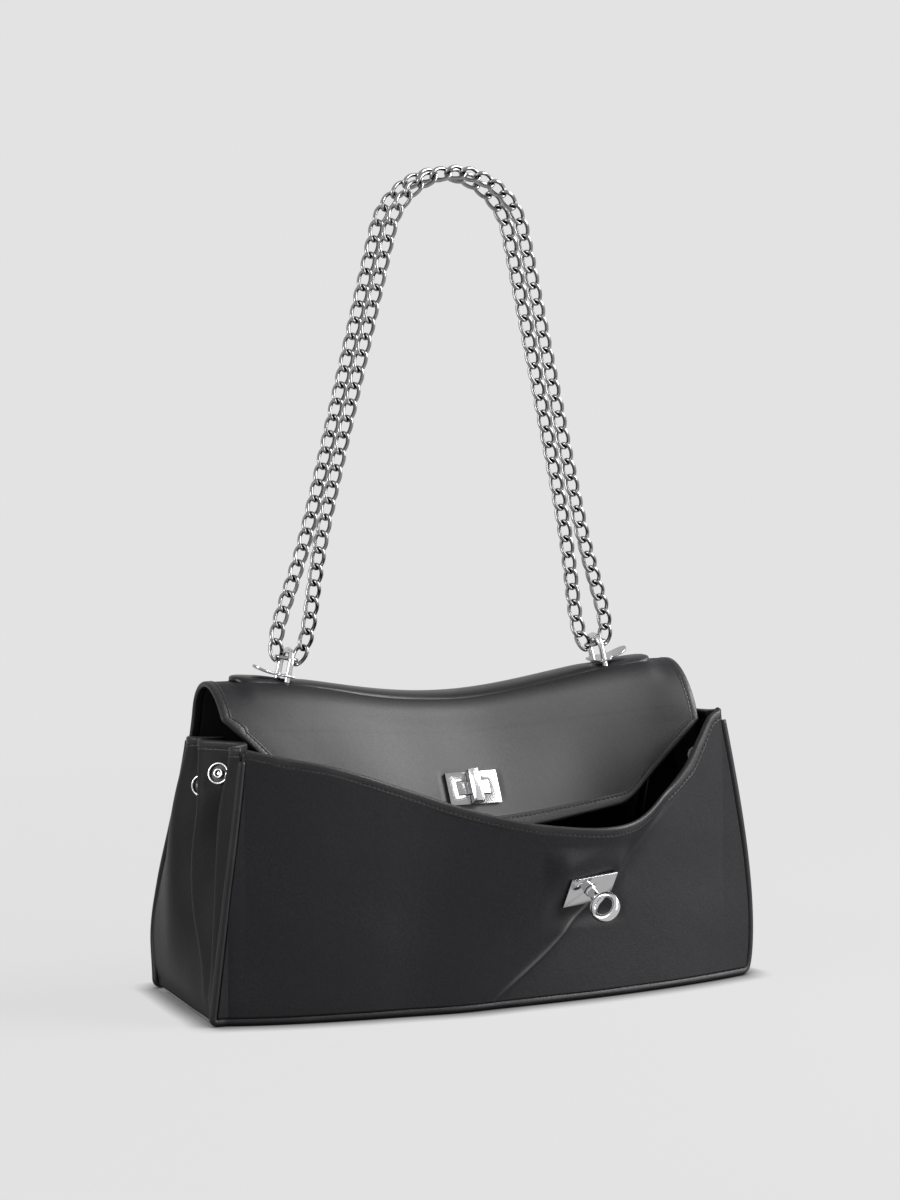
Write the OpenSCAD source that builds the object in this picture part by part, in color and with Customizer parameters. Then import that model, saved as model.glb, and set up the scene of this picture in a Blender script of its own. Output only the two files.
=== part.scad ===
// Soft leather shoulder bag with a wave-cut front panel, a fold-over flap with a turn lock,
// an eye toggle on the front panel and a doubled chain. Millimetres, +Z up, front faces -Y,
// origin on the floor under the middle of the bag.

/* [Bag body] */
// Width of the front panel along the floor
bag_w = 300; // [270:1:330]
// Width of the front panel along its top edge
rim_w = 268; // [250:1:290]
// How much narrower than the front panel the back panel is along the floor
back_less = 12; // [6:1:20]
// Width of the back panel at the fold
fold_w = 270; // [255:1:285]
// Height of the front panel at its left corner
left_h = 137; // [130:1:142]
// Height of the front panel at its right corner
right_h = 142.7; // [135:1:150]
// Height of the front panel at the lowest place of its wave
low_h = 90.6; // [80:0.1:105]
// Reach of the front panel's corners in front of the origin
corner_reach = 49; // [46:1:54]
// How far the front panel bows out along the floor
floor_bow = 22; // [10:1:28]
// Reach of the front panel's top corners
rim_reach = 52; // [50:1:58]
// How far the front panel bows out along its top
rim_bow = 13; // [10:1:18]
// Reach of the back panel behind the origin at its fullest
back_reach = 56; // [50:1:62]
// How far the middle of the back panel bows out
back_bow = 4; // [0:1:8]
// How far the right side of the front panel swells out
side_swell = 7; // [0:1:10]
// Depth of the gussets' pleats
pleat_d = 9; // [6:0.5:11]
// Height of the gussets' top edge at the back
gusset_h = 132.5; // [128:0.5:138]
/* [Materials] */
// Thickness of the outer leather
leather_t = 1.3; // [1:0.1:1.6]
// Thickness of the lining
lining_t = 0.8; // [0.6:0.1:1]
// Space left between layers and beside seams
seam_gap = 0.3; // [0.2:0.05:0.4]
// Diameter of the piping
piping_d = 4; // [3:0.2:4.6]
// Diameter of the bound edges
binding_d = 3; // [2.4:0.2:3.4]
// Thickness of the base board
board_t = 1.8; // [1.2:0.2:2.4]
/* [Flap] */
// Height of the fold line that the flap turns about
fold_h = 140; // [139.8:0.1:142]
// Distance of the fold line behind the origin
fold_y = 19.5; // [18:0.5:21]
// Height of the ridge above the fold line at the ends of the flap
ridge_rise = 22.7; // [21:0.1:25]
// How far the ridge sags in the middle
ridge_sag = 14.4; // [6:0.5:16]
// Half length over which the ridge sags
sag_half = 128; // [120:1:140]
// Width of the flap along the ridge
flap_w = 268; // [250:1:272]
// Width of the flap along its lower edge
tip_w = 172; // [150:1:180]
// Height of the flap's lower corners
tip_h = 97; // [94:1:102]
// Reach of the flap's lower edge in front of the origin
tip_reach = 41; // [38:1:42]
// Width of the raised strip on the ridge
strip_w = 19; // [18:0.5:21]
// Length of the raised strip
strip_l = 240; // [230:1:250]
// Thickness of the raised strip's cover
strip_t = 1.1; // [0.9:0.1:1.4]
// Thickness of the strip's filler
filler_t = 1.2; // [0.8:0.1:1.6]
/* [Chain] */
// Distance between the two staples
staple_span = 184; // [170:1:196]
// Diameter of a staple's bar
staple_bar = 3.2; // [2.8:0.1:3.4]
// Clear width inside a staple
staple_gap = 10.4; // [10:0.1:11.4]
// Height of a staple above its tab
staple_h = 14; // [13.6:0.1:15]
// Diameter of the chain's wire
wire_d = 2.1; // [1.9:0.05:2.2]
// Outer width of a chain link
link_w = 8; // [7.9:0.05:8.3]
// Wanted distance from link to link
link_pitch = 8.4; // [8.2:0.05:8.8]
// Height of the chain's highest point
chain_top = 421; // [400:1:440]
// Radius of the chain's bend at the top
chain_bend = 39; // [34:1:44]
// Distance between the two strands
strand_gap = 17; // [15:0.5:20]
/* [Turn lock] */
// Width of the lock's plates
plate_w = 28.7; // [27:0.1:30]
// Height of the lock's plates
plate_h = 17.5; // [16.5:0.1:18.5]
// Thickness of the lock's face plate
plate_t = 1.6; // [1.2:0.1:2]
// Width of the slot in the face plate
slot_w = 18.7; // [17.5:0.1:19.5]
// Height of the slot in the face plate
slot_h = 8; // [7.4:0.1:8.6]
// Length of the turn knob
knob_l = 17.6; // [16:0.1:18]
// Width of the turn knob
knob_w = 6; // [5:0.1:6.5]
// Height of the turn knob
knob_h = 5; // [4:0.1:6]
// Diameter of the knob's spindle
spindle_d = 4; // [3.6:0.1:4.4]
/* [Eye toggle] */
// Height of the eye toggle on the front panel
toggle_h = 59; // [54:0.5:62]
// Distance of the eye toggle to the right of the middle
toggle_x = 43.5; // [40:0.5:50]
// Thickness of the toggle's plate
toggle_t = 1.2; // [1:0.1:1.6]
// Diameter of the toggle's post
post_d = 5.4; // [4.8:0.1:6]
// Distance from the plate to the middle of the eye
eye_reach = 13.6; // [12:0.1:15]
// Outer diameter of the eye
eye_d = 16; // [15:0.1:17]
// Diameter of the hole in the eye
eye_hole = 9; // [8.4:0.1:9.4]
// Thickness of the eye
eye_t = 5; // [4.6:0.1:5.4]
/* [Snaps] */
// Outer diameter of a snap
snap_d = 10.9; // [10:0.1:11.4]
// Diameter of a snap's inner ring
snap_eye = 4.8; // [4.4:0.1:5.2]
// Height of a snap above the leather
snap_t = 2; // [1.6:0.1:2.4]

/* [Hidden] */
$fn = 48;

// Colours, as the materials show
leather_c = [0.11, 0.11, 0.12];
edge_c = [0.08, 0.08, 0.09];
lining_c = [0.06, 0.06, 0.06];
board_c = [0.35, 0.33, 0.3];
metal_c = [0.8, 0.8, 0.82];

// Half sizes and radii
piping_r = piping_d / 2;
binding_r = binding_d / 2;
staple_r = staple_bar / 2;
wire_r = wire_d / 2;
skin_in = seam_gap / 2;
skin_out = skin_in + leather_t;
lining_in = skin_in + lining_t;
// Steps that the curved sheets are drawn with, along and up
front_steps = [24, 8];
back_steps = [14, 8];
gusset_steps = [24, 10];
flap_steps = [24, 18];
strip_steps = [28, 4];
tube_sides = 8;
// Width of the finite step that a surface's slope is measured over, as a share of the surface
slope_share = 0.01;

// Wave edge: place across the panel, and height between the lowest place and the corner
wave_shares = [[-1, 1], [-0.86, 0.9], [-0.66, 0.767], [-0.43, 0.54], [-0.2, 0.297], [0.03, 0.108],
    [0.2, 0.03], [0.36, 0], [0.53, 0.045], [0.69, 0.195], [0.81, 0.445], [0.88, 0.72],
    [0.935, 0.925], [1, 1]];
wave_low_share = 0.36;
// Where the floor bow is centred, and the power that rounds it
bow_x = 8;
bow_power = 0.8;
// Power that sets how low the right side swells out
swell_power = 0.6;
// Diagonal crease: a place on it, its tilt in degrees, how much it curls up beyond that place,
// how steeply the leather above it leans out and how far, how softly it bends, and the stretch
// over which the lean fades in and out
crease_x = 55;
crease_z = 53.5;
crease_tilt = 39;
crease_curl = 27;
crease_slope_share = 1.05;
crease_run = 26;
crease_soft = 5;
crown_soft = 8;
lean_from = -60;
lean_full = 85;
lean_fade = 96;
// Back panel: reach at even heights from the floor to the fold, as shares
back_reach_shares = [0.875, 1, 0.893, 0.69, 0.482, 0.348];
// Gusset: five fold lines between the seams (rear swell, first valley, middle leaf, second
// valley, front swell). Rows go from the floor to the top edge
fold_place_shares = [
    [0, 0.50, 0.85, 0.90, 0.95, 0.975, 1],
    [0, 0.44, 0.79, 0.855, 0.94, 0.97, 1],
    [0, 0.39, 0.65, 0.73, 0.893, 0.95, 1],
    [0, 0.30, 0.56, 0.65, 0.835, 0.915, 1],
    [0, 0.20, 0.49, 0.60, 0.78, 0.88, 1],
    [0, 0.163, 0.347, 0.433, 0.745, 0.90, 1]];
fold_out_shares = [
    [0, 0, 0, 0, 0, 0, 0],
    [0, 0.5, -0.05, 0.2, -0.1, 0.05, 0],
    [0, 0.85, -0.2, 0.6, -0.35, 0.2, 0],
    [0, 0.95, -0.6, 0.85, -0.6, 0.35, 0],
    [0, 0.85, -0.85, 0.85, -0.75, 0.4, 0],
    [0, 0.5, -0.9, 0.7, -0.9, 0.25, 0]];
// The right gusset's top stands open in front, where the flap's wider corner hangs beside it
right_top_shares = [[0, 0.85, -0.85, 0.85, -0.1, 0.4, 0], [0, 0.5, -0.9, 0.7, 0.6, 0.45, 0]];
function fold_outs(side) = side < 0 ? fold_out_shares
    : concat([for (i = [0:len(fold_out_shares) - 3]) fold_out_shares[i]], right_top_shares);
// Height that the gusset's leaf rises above its back corner, and the share of the gusset's height
// over which its foot is drawn in
leaf_rise = 1.5;
foot_share = 0.1;
// Power that keeps the gusset's top edge level until it meets the front corner
rim_power = 3;

function mix(a, b, t) = a + (b - a) * t;
function unit(v) = v / norm(v);
function limit(t) = max(0, min(1, t));
function ease(t) = limit(t) * limit(t) * (3 - 2 * limit(t));
function pick(p, i) = p[max(0, min(len(p) - 1, i))];
// A smooth curve through a list of points, from its first at 0 to its last at 1
function through(p, t) =
    let (n = len(p) - 1, f = limit(t) * n, i = min(floor(f), n - 1), k = f - i)
    let (a = pick(p, i - 1), b = p[i], c = p[i + 1], d = pick(p, i + 2))
    b + k / 2 * ((c - a) + k * ((2 * a - 5 * b + 4 * c - d) + k * (3 * (b - c) + d - a)));
// A cubic curve from four control points
function cubic(p, t) = pow(1 - t, 3) * p[0] + 3 * t * pow(1 - t, 2) * p[1]
    + 3 * t * t * (1 - t) * p[2] + pow(t, 3) * p[3];
function steps(a, b, n) = [for (i = [0:n]) mix(a, b, i / n)];
function reverse(p) = [for (i = [len(p) - 1:-1:0]) p[i]];
// Three places that round the corner c between a and b
function bend(a, c, b) = [for (k = [1, 2, 3]) mix(mix(a, c, k / 4), mix(c, b, k / 4), k / 4)];

// Front panel surface: u from the left seam to the right, v from the floor to the wave edge
wave_curve = [for (t = steps(0, 1, 120)) through(wave_shares, t)];
function wave_h(u) = let (share = lookup(2 * u - 1, wave_curve))
    low_h + share * ((2 * u - 1 < wave_low_share ? left_h : right_h) - low_h);
function past(d, soft) = (d + sqrt(d * d + soft * soft)) / 2;
function lean(x, z) =
    let (curl = crease_curl * pow(max(0, (x - crease_x) / crease_x), 2))
    let (d = (z - crease_z - curl) * cos(crease_tilt) - (x - crease_x) * sin(crease_tilt))
    let (fade_in = ease((x - lean_from) / (lean_full - lean_from)))
    let (fade_out = 1 - ease((x - lean_fade) / (rim_w / 2 - lean_fade)))
    let (out = past(d, crease_soft) - past(d - crease_run, crown_soft))
    crease_slope_share * out * fade_in * fade_out;
function free_reach(x, z, v) =
    let (floor_far = pow((x - bow_x) / (bag_w / 2), 2), rim_far = pow(abs(x) / (rim_w / 2), 3))
    let (at_floor = corner_reach + floor_bow * pow(limit(1 - floor_far), bow_power))
    let (at_rim = rim_reach + rim_bow * limit(1 - rim_far))
    mix(at_floor, at_rim, v) + lean(x, z);
// The toggle's plate presses the leather flat: the slopes of that flat, and how softly it fades
press_slope_shares = [-0.19, 0.59];
press_soft = 14;
press_from = free_reach(toggle_x, toggle_h, toggle_h / low_h);
function front_reach(x, z, v) =
    let (away = [x - toggle_x, z - toggle_h])
    let (past_x = (abs(away.x) - plate_w / 2) / press_soft, past_z = (abs(away.y) - plate_h / 2) / press_soft)
    let (press = (1 - ease(past_x)) * (1 - ease(past_z)))
    mix(free_reach(x, z, v), press_from + press_slope_shares * away, press);
function front(u, v) =
    let (across = 2 * u - 1, z = mix(piping_r, wave_h(u), v))
    let (swell = side_swell * pow(max(0, across), 4) * sin(180 * pow(v, swell_power)))
    let (x = across * mix(bag_w, rim_w, v) / 2 + swell)
    [x, -front_reach(x, z, v), z];
// Share of the front panel's height that lies a given drop, square to the edge, below the wave
function wave_rise(u) = let (d = front(min(1, u + slope_share), 1) - front(max(0, u - slope_share), 1))
    norm([d.x, d.z]) / d.x;
function front_below(u, drop) = 1 - drop * wave_rise(u) / (wave_h(u) - piping_r);

// Back panel surface: u from left to right, v from the floor to the fold
back_w = bag_w - back_less;
back_top = fold_h - binding_r - seam_gap;
function back(u, v) =
    [(2 * u - 1) * mix(back_w, fold_w, v) / 2,
     back_reach * through(back_reach_shares, v) + back_bow * sin(180 * u) * sin(180 * v),
     mix(piping_r, back_top, v)];

// Gusset surface: side is -1 or 1, t runs from the back seam to the front seam, w upwards
seam_in = piping_r + seam_gap;
gusset_in = seam_in + 2 * seam_gap;
function fold_row(table, w) = [for (c = [0:len(table[0]) - 1])
    through([for (r = table) r[c]], w)];
function gusset(side, t, w) =
    let (f = front(side < 0 ? 0 : 1, w), b = back(side < 0 ? 0 : 1, w))
    let (place = through(fold_row(fold_place_shares, w), t))
    let (out = through(fold_row(fold_outs(side), w), t) * pleat_d)
    let (base_x = mix(abs(b.x), abs(f.x), place) - (1 - ease(w / foot_share)) * seam_in)
    let (rise = leaf_rise * sin(180 * place) * ease(w))
    let (rear_z = mix(piping_r, gusset_h, w))
    [side * (base_x + out),
     mix(b.y - gusset_in, f.y + gusset_in, place),
     mix(rear_z, f.z - binding_d * w, pow(place, rim_power)) + rise];

// Flap surface: x across, s from the fold line (0) over the ridge to the lower edge (2)
front_slant = fold_h - tip_h;
function sag(x) = abs(x) < sag_half ? pow(cos(90 * x / sag_half), 2) : 0;
arch_end = [[fold_y, fold_h], [fold_y, fold_h + ridge_rise * 1.233],
    [-fold_y * 0.46, fold_h + ridge_rise * 1.41], [-tip_reach * 0.624, fold_h + ridge_rise * 0.088]];
sheet_end = [arch_end[3], [-tip_reach * 0.756, fold_h - front_slant * 0.2],
    [-tip_reach * 0.902, fold_h - front_slant * 0.65], [-tip_reach, tip_h]];
mid_lift = ridge_rise - ridge_sag;
arch_mid = [[fold_y, fold_h], [fold_y, fold_h + mid_lift * 1.085],
    [-fold_y * 0.1, fold_h + mid_lift * 1.81], [-tip_reach * 0.341, fold_h - mid_lift * 0.72]];
sheet_mid = [arch_mid[3], [-tip_reach * 0.537, fold_h - front_slant * 0.48],
    [-tip_reach * 0.756, fold_h - front_slant * 0.84], [-tip_reach * 0.976, tip_h - ridge_sag * 0.9]];
function blend(a, b, k) = [for (i = [0:3]) mix(a[i], b[i], k)];
function flap(x, s) =
    let (k = sag(x))
    let (q = s < 1 ? cubic(blend(arch_end, arch_mid, k), s)
                   : cubic(blend(sheet_end, sheet_mid, k), s - 1))
    [x, q.x, q.y];
// Half width of the flap to either side: full over the ridge, then drawn in along a straight
// diagonal, which starts lower down on the right
left_corner_h = fold_h + ridge_rise * 0.33;
right_corner_h = fold_h - ridge_rise * 0.28;
function flap_half(s, side) =
    let (corner_h = side < 0 ? left_corner_h : right_corner_h)
    let (z = s < 1 ? cubic(arch_end, s).y : cubic(sheet_end, s - 1).y)
    s < 0.6 ? flap_w / 2 : mix(flap_w, tip_w, limit((corner_h - z) / (corner_h - tip_h))) / 2;

// Frames on the surfaces, as [origin, right, up, outward]
function on_front(u, v) =
    let (a = front(u + slope_share, v) - front(u - slope_share, v))
    let (b = front(u, v + slope_share) - front(u, v - slope_share))
    let (n = unit(cross(a, b)), r = unit(a - (a * n) * n))
    [front(u, v), r, cross(n, r), n];
function on_flap(x, s) =
    let (a = flap(x + slope_share * flap_w, s) - flap(x - slope_share * flap_w, s))
    let (b = flap(x, s + slope_share) - flap(x, s - slope_share))
    let (n = unit(cross(b, a)), r = unit(a))
    [flap(x, s), r, cross(n, r), n];
function on_gusset(side, t, w) =
    let (a = gusset(side, t + slope_share, w) - gusset(side, t - slope_share, w))
    let (b = gusset(side, t, w + slope_share) - gusset(side, t, w - slope_share))
    let (n = unit(side * cross(b, a)), r = unit(cross(b, n)))
    [gusset(side, t, w), r, cross(n, r), n];
module at(f, lift = 0) {
    o = f[0] + lift * f[3];
    multmatrix([[f[1].x, f[2].x, f[3].x, o.x], [f[1].y, f[2].y, f[3].y, o.y],
        [f[1].z, f[2].z, f[3].z, o.z], [0, 0, 0, 1]]) children();
}

// A closed solid between two grids of points, and a closed sheet between two offsets of one grid
module between(top, bottom) {
    rows = len(top);
    cols = len(top[0]);
    function at_grid(i, j, lower = 0) = (lower * rows + i) * cols + j;
    function quad(a, b, c, d) = [[a, b, c], [a, c, d]];
    skins = [for (i = [0:rows - 2]) for (j = [0:cols - 2]) each concat(
        quad(at_grid(i, j), at_grid(i, j + 1), at_grid(i + 1, j + 1), at_grid(i + 1, j)),
        quad(at_grid(i, j, 1), at_grid(i + 1, j, 1), at_grid(i + 1, j + 1, 1),
            at_grid(i, j + 1, 1)))];
    row_rims = [for (j = [0:cols - 2]) each concat(
        quad(at_grid(0, j + 1), at_grid(0, j), at_grid(0, j, 1), at_grid(0, j + 1, 1)),
        quad(at_grid(rows - 1, j), at_grid(rows - 1, j + 1), at_grid(rows - 1, j + 1, 1),
            at_grid(rows - 1, j, 1)))];
    col_rims = [for (i = [0:rows - 2]) each concat(
        quad(at_grid(i, 0), at_grid(i + 1, 0), at_grid(i + 1, 0, 1), at_grid(i, 0, 1)),
        quad(at_grid(i + 1, cols - 1), at_grid(i, cols - 1), at_grid(i, cols - 1, 1),
            at_grid(i + 1, cols - 1, 1)))];
    polyhedron([for (g = [top, bottom]) for (row = g) each row], concat(skins, row_rims, col_rims));
}
function slope_at(g, i, j) = unit(cross(
    pick(g, i + 1)[j] - pick(g, i - 1)[j], pick(g[i], j + 1) - pick(g[i], j - 1)));
function offset_grid(g, h) = [for (i = [0:len(g) - 1])
    [for (j = [0:len(g[0]) - 1]) g[i][j] + h * slope_at(g, i, j)]];
module sheet(g, low, high) between(offset_grid(g, high), offset_grid(g, low));
// A round tube along a path, with one reference direction for each point
module tube(path, side_of, r) {
    n = len(path);
    rings = [for (i = [0:n - 1])
        let (t = unit(pick(path, i + 1) - pick(path, i - 1)))
        let (b = unit(cross(t, side_of[i])), c = cross(b, t))
        for (k = [0:tube_sides - 1])
            path[i] + r * (cos(360 * k / tube_sides) * b + sin(360 * k / tube_sides) * c)];
    function at_ring(i, k) = i * tube_sides + k % tube_sides;
    walls = [for (i = [0:n - 2]) for (k = [0:tube_sides - 1]) each [
        [at_ring(i, k), at_ring(i, k + 1), at_ring(i + 1, k + 1)],
        [at_ring(i, k), at_ring(i + 1, k + 1), at_ring(i + 1, k)]]];
    first = [for (k = [tube_sides - 1:-1:0]) at_ring(0, k)];
    last = [for (k = [0:tube_sides - 1]) at_ring(n - 1, k)];
    polyhedron(rings, concat(walls, [first, last]));
}
module rod(d, from, to) translate([0, 0, from]) cylinder(d = d, h = to - from);
module slab(w, h, from, to) translate([-w / 2, -h / 2, from]) cube([w, h, to - from]);
module ring(outer, inner, from, to) difference() {
    rod(outer, from, to);
    rod(inner, from - cut, to + cut);
}
// Overrun of every cut
cut = 1;

// Leather sheets of the body
rim_drop = binding_d + seam_gap;
// Steps from 0 to 1 that crowd towards both ends
function crowded(n) = [for (a = steps(0, 180, n)) (1 - cos(a)) / 2];
function front_grid(short) =
    let (cs = crowded(front_steps.x), in = seam_in / rim_w)
    [for (i = [short:front_steps.x - short]) let (u = mix(in, 1 - in, cs[i]))
        [for (v = steps(seam_in / (wave_h(u) - piping_r), front_below(u, rim_drop), front_steps.y))
            front(u, v)]];
function back_grid(inset) =
    [for (v = steps(inset / (back_top - piping_r), 1, back_steps.y))
        [for (u = steps(inset / fold_w, 1 - inset / fold_w, back_steps.x)) back(u, v)]];
function gusset_grid(side, short) =
    let (ts = [for (i = [short:gusset_steps.x - short]) i / gusset_steps.x])
    let (ws = steps(0, 1, gusset_steps.y))
    side < 0 ? [for (t = ts) [for (w = ws) gusset(side, t, w)]]
             : [for (w = ws) [for (t = ts) gusset(side, t, w)]];
module front_panel() color(leather_c) difference() {
    sheet(front_grid(0), skin_in, skin_out);
    toggle_space() {
        plate_seat(toggle_seat, toggle_seat + plate_w);
        plate_seat(-toggle_inner - plate_w, -toggle_inner);
        toggle_holes();
    }
}
module front_lining() color(lining_c) difference() {
    sheet(front_grid(1), -lining_in, -skin_in);
    toggle_space() {
        plate_seat(-toggle_inner - plate_w, -toggle_inner);
        toggle_holes();
    }
}
module back_panel() color(leather_c) sheet(back_grid(seam_in), skin_in, skin_out);
module back_lining() color(lining_c) sheet(back_grid(seam_in + leather_t), -lining_in, -skin_in);
module gusset_leather(side) color(leather_c) difference() {
    sheet(gusset_grid(side, 0), skin_in, skin_out);
    snap_room(side);
}
module gusset_lining(side) color(lining_c) difference() {
    sheet(gusset_grid(side, 1), -lining_in, -skin_in);
    snap_room(side);
}
module snap_room(side) for (p = snap_places) at(on_gusset(side, p.x, p.y)) {
    rod(snap_d + seam_gap, snap_seat, snap_seat + snap_d);
    rod(snap_cap_d + seam_gap, -snap_inner - snap_d, -snap_inner);
    rod(snap_post_d + seam_gap, -snap_d, snap_d);
}
module left_gusset() gusset_leather(-1);
module right_gusset() gusset_leather(1);
module left_gusset_lining() gusset_lining(-1);
module right_gusset_lining() gusset_lining(1);

// Bound edges and piping
bead_up = [0, 0, seam_gap + binding_r];
wave_end_share = 0.012;
rim_end_share = 0.03;
module front_binding() color(edge_c) {
    us = [for (c = crowded(front_steps.x * 2)) mix(wave_end_share, 1 - wave_end_share, c)];
    tube([for (u = us) front(u, front_below(u, binding_r))], [for (u = us) [0, 1, 0]], binding_r);
}
module gusset_binding(side) color(edge_c) {
    ts = steps(rim_end_share, 1 - rim_end_share, gusset_steps.x * 2);
    tube([for (t = ts) gusset(side, t, 1) + bead_up], [for (t = ts) [0, 0, 1]], binding_r);
}
module left_gusset_binding() gusset_binding(-1);
module right_gusset_binding() gusset_binding(1);
// Places down the left seam, along the floor and up the right seam of a panel, its two lower
// corners rounded
corner_shares = [0.02, 0.009];
piping_top_share = 0.955;
function seam_places(along, up) =
    let (low = corner_shares.x, in = corner_shares.y, side_up = steps(low, piping_top_share, up))
    concat([for (v = reverse(side_up)) [0, v]], bend([0, low], [0, 0], [in, 0]),
        [for (u = steps(in, 1 - in, along)) [u, 0]],
        bend([1 - in, 0], [1, 0], [1, low]), [for (v = side_up) [1, v]]);
module piping(path) color(edge_c) tube(path, [for (p = path) [0, 1, 0]], piping_r);
module front_piping() piping([for (p = seam_places(16, 8)) front(p.x, p.y)]);
module back_piping() piping([for (p = seam_places(12, 8)) back(p.x, p.y)]);

// Base: an outline that follows the seams, drawn in by a given amount
panel_end_share = 0.04;
gusset_end_share = 0.03;
function base_outline(inset) =
    let (a = panel_end_share, b = gusset_end_share)
    let (front_line = [for (u = steps(a, 1 - a, 16)) front(u, 0) + [0, inset, 0]])
    let (right_line = [for (t = steps(1 - b, b, 8)) gusset(1, t, 0) - [inset, 0, 0]])
    let (back_line = [for (u = steps(1 - a, a, 12)) back(u, 0) - [0, inset, 0]])
    let (left_line = [for (t = steps(b, 1 - b, 8)) gusset(-1, t, 0) + [inset, 0, 0]])
    [for (p = concat(front_line, right_line, back_line, left_line)) [p.x, p.y]];
module base_layer(inset, from, to) translate([0, 0, from])
    linear_extrude(to - from) polygon(base_outline(inset));
board_from = leather_t + skin_in;
base_lining_from = board_from + board_t + skin_in;
module base_panel() color(leather_c) base_layer(seam_in, 0, leather_t);
module base_board() color(board_c)
    base_layer(seam_in + leather_t, board_from, board_from + board_t);
module base_lining() color(lining_c)
    base_layer(piping_d + leather_t, base_lining_from, base_lining_from + lining_t);

// Snaps: two sockets and two studs on each gusset, as places on its surface
rear_socket_shares = [0.25, 0.835];
leaf_stud_shares = [0.435, 0.835];
leaf_socket_shares = [0.585, 0.9];
front_stud_shares = [0.76, 0.905];
snap_places = [rear_socket_shares, leaf_stud_shares, leaf_socket_shares, front_stud_shares];
snap_post_d = snap_eye * 0.4;
snap_base_t = snap_t * 0.4;
snap_cap_d = snap_d * 0.8;
snap_seat = skin_out + skin_in;
snap_inner = lining_in + skin_in;
module snap_post() rod(snap_post_d, -snap_inner - snap_base_t, snap_seat + snap_base_t);
module snap_socket() {
    snap_post();
    ring(snap_d, snap_post_d, snap_seat, snap_seat + snap_base_t);
    ring(snap_d, snap_d * 0.78, snap_seat, snap_seat + snap_t);
    ring(snap_eye, snap_eye * 0.6, snap_seat, snap_seat + snap_t * 0.8);
}
module snap_stud() {
    snap_post();
    rod(snap_d * 0.9, snap_seat, snap_seat + snap_base_t);
    rod(snap_eye * 0.8, snap_seat, snap_seat + snap_t);
}
module sockets(side) color(metal_c)
    for (p = [rear_socket_shares, leaf_socket_shares]) at(on_gusset(side, p.x, p.y)) snap_socket();
module studs(side) color(metal_c)
    for (p = [leaf_stud_shares, front_stud_shares]) at(on_gusset(side, p.x, p.y)) snap_stud();
module left_snap_sockets() sockets(-1);
module right_snap_sockets() sockets(1);
module left_snap_studs() studs(-1);
module right_snap_studs() studs(1);
module snap_caps() color(metal_c)
    for (side = [-1, 1]) for (p = snap_places) at(on_gusset(side, p.x, p.y))
        ring(snap_cap_d, snap_post_d + skin_in, -snap_inner - snap_base_t, -snap_inner);

// Fixings that both plates share
run_gap = 0.08;
prong_d = 1.6;
back_plate_t = 1;
back_plate_w = plate_w * 0.84;
back_plate_h = plate_h * 0.8;
prong_x = back_plate_w * 0.42;
prong_y = back_plate_h * 0.36;
washer_t = 0.6;
module prongs(d, from, to) for (x = [-1, 1]) for (y = [-1, 1])
    translate([x * prong_x, y * prong_y, 0]) rod(d, from, to);
module plate_seat(from, to) slab(plate_w + seam_gap, plate_h + seam_gap, from, to);
module back_plate(bore, from) difference() {
    slab(back_plate_w, back_plate_h, from - back_plate_t, from);
    rod(bore, from - back_plate_t - cut, from + cut);
    prongs(prong_d + run_gap, from - back_plate_t - cut, from + cut);
}

// Eye toggle on the front panel
toggle_tilt = 5;
eye_turn = 139;
toggle_u = (1 + 2 * toggle_x / mix(bag_w, rim_w, toggle_h / low_h)) / 2;
toggle_v = (toggle_h - piping_r) / (wave_h(toggle_u) - piping_r);
toggle_seat = skin_out + skin_in;
toggle_inner = lining_in + skin_in;
toggle_washer_from = -toggle_inner - back_plate_t - skin_in;
toggle_end_d = post_d * 0.6;
module toggle_space() at(on_front(toggle_u, toggle_v)) rotate([0, 0, toggle_tilt]) children();
module toggle_holes() {
    rod(post_d + seam_gap, -plate_h, plate_h);
    prongs(prong_d + seam_gap, -plate_h, plate_h);
}
module toggle_plate() color(metal_c) toggle_space() {
    difference() {
        slab(plate_w, plate_h, toggle_seat, toggle_seat + toggle_t);
        rod(post_d + 2 * run_gap, toggle_seat - cut, toggle_seat + toggle_t + cut);
    }
    prongs(prong_d, -toggle_inner - back_plate_t, toggle_seat);
}
module toggle_back_plate() color(metal_c) toggle_space()
    back_plate(post_d + 2 * run_gap, -toggle_inner);
module toggle_washer() color(metal_c) toggle_space()
    ring(post_d * 1.9, post_d + 2 * run_gap, toggle_washer_from - washer_t, toggle_washer_from);
module toggle_ring() color(metal_c) toggle_space()
    ring(post_d * 1.6, toggle_end_d + run_gap, toggle_washer_from - skin_in - 3 * washer_t,
        toggle_washer_from - skin_in - washer_t);
eye_mid = toggle_seat + toggle_t + eye_reach;
collar_t = 1.4;
eye_wall = (eye_d - eye_hole) / 2;
eye_round = eye_wall * 0.35;
module eye_profile() {
    translate([eye_hole / 2, -eye_t / 2 + eye_round]) square([eye_wall, eye_t - 2 * eye_round]);
    translate([eye_hole / 2 + eye_round, -eye_t / 2]) square([eye_wall - 2 * eye_round, eye_t]);
    for (x = [eye_hole / 2 + eye_round, eye_d / 2 - eye_round]) for (y = [-1, 1])
        translate([x, y * (eye_t / 2 - eye_round)]) circle(eye_round);
}
module eye_toggle() color(metal_c) toggle_space() {
    rod(toggle_end_d, toggle_washer_from - skin_in - 3 * washer_t, toggle_washer_from);
    rod(post_d, toggle_washer_from - skin_in - washer_t + skin_in, eye_mid - eye_hole / 2 - eye_wall / 2);
    translate([0, 0, toggle_seat + toggle_t + skin_in]) rod(post_d * 1.2, 0, collar_t);
    translate([0, 0, eye_mid]) rotate([0, 0, eye_turn]) rotate([0, 90, 0])
        rotate_extrude() eye_profile();
}

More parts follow.
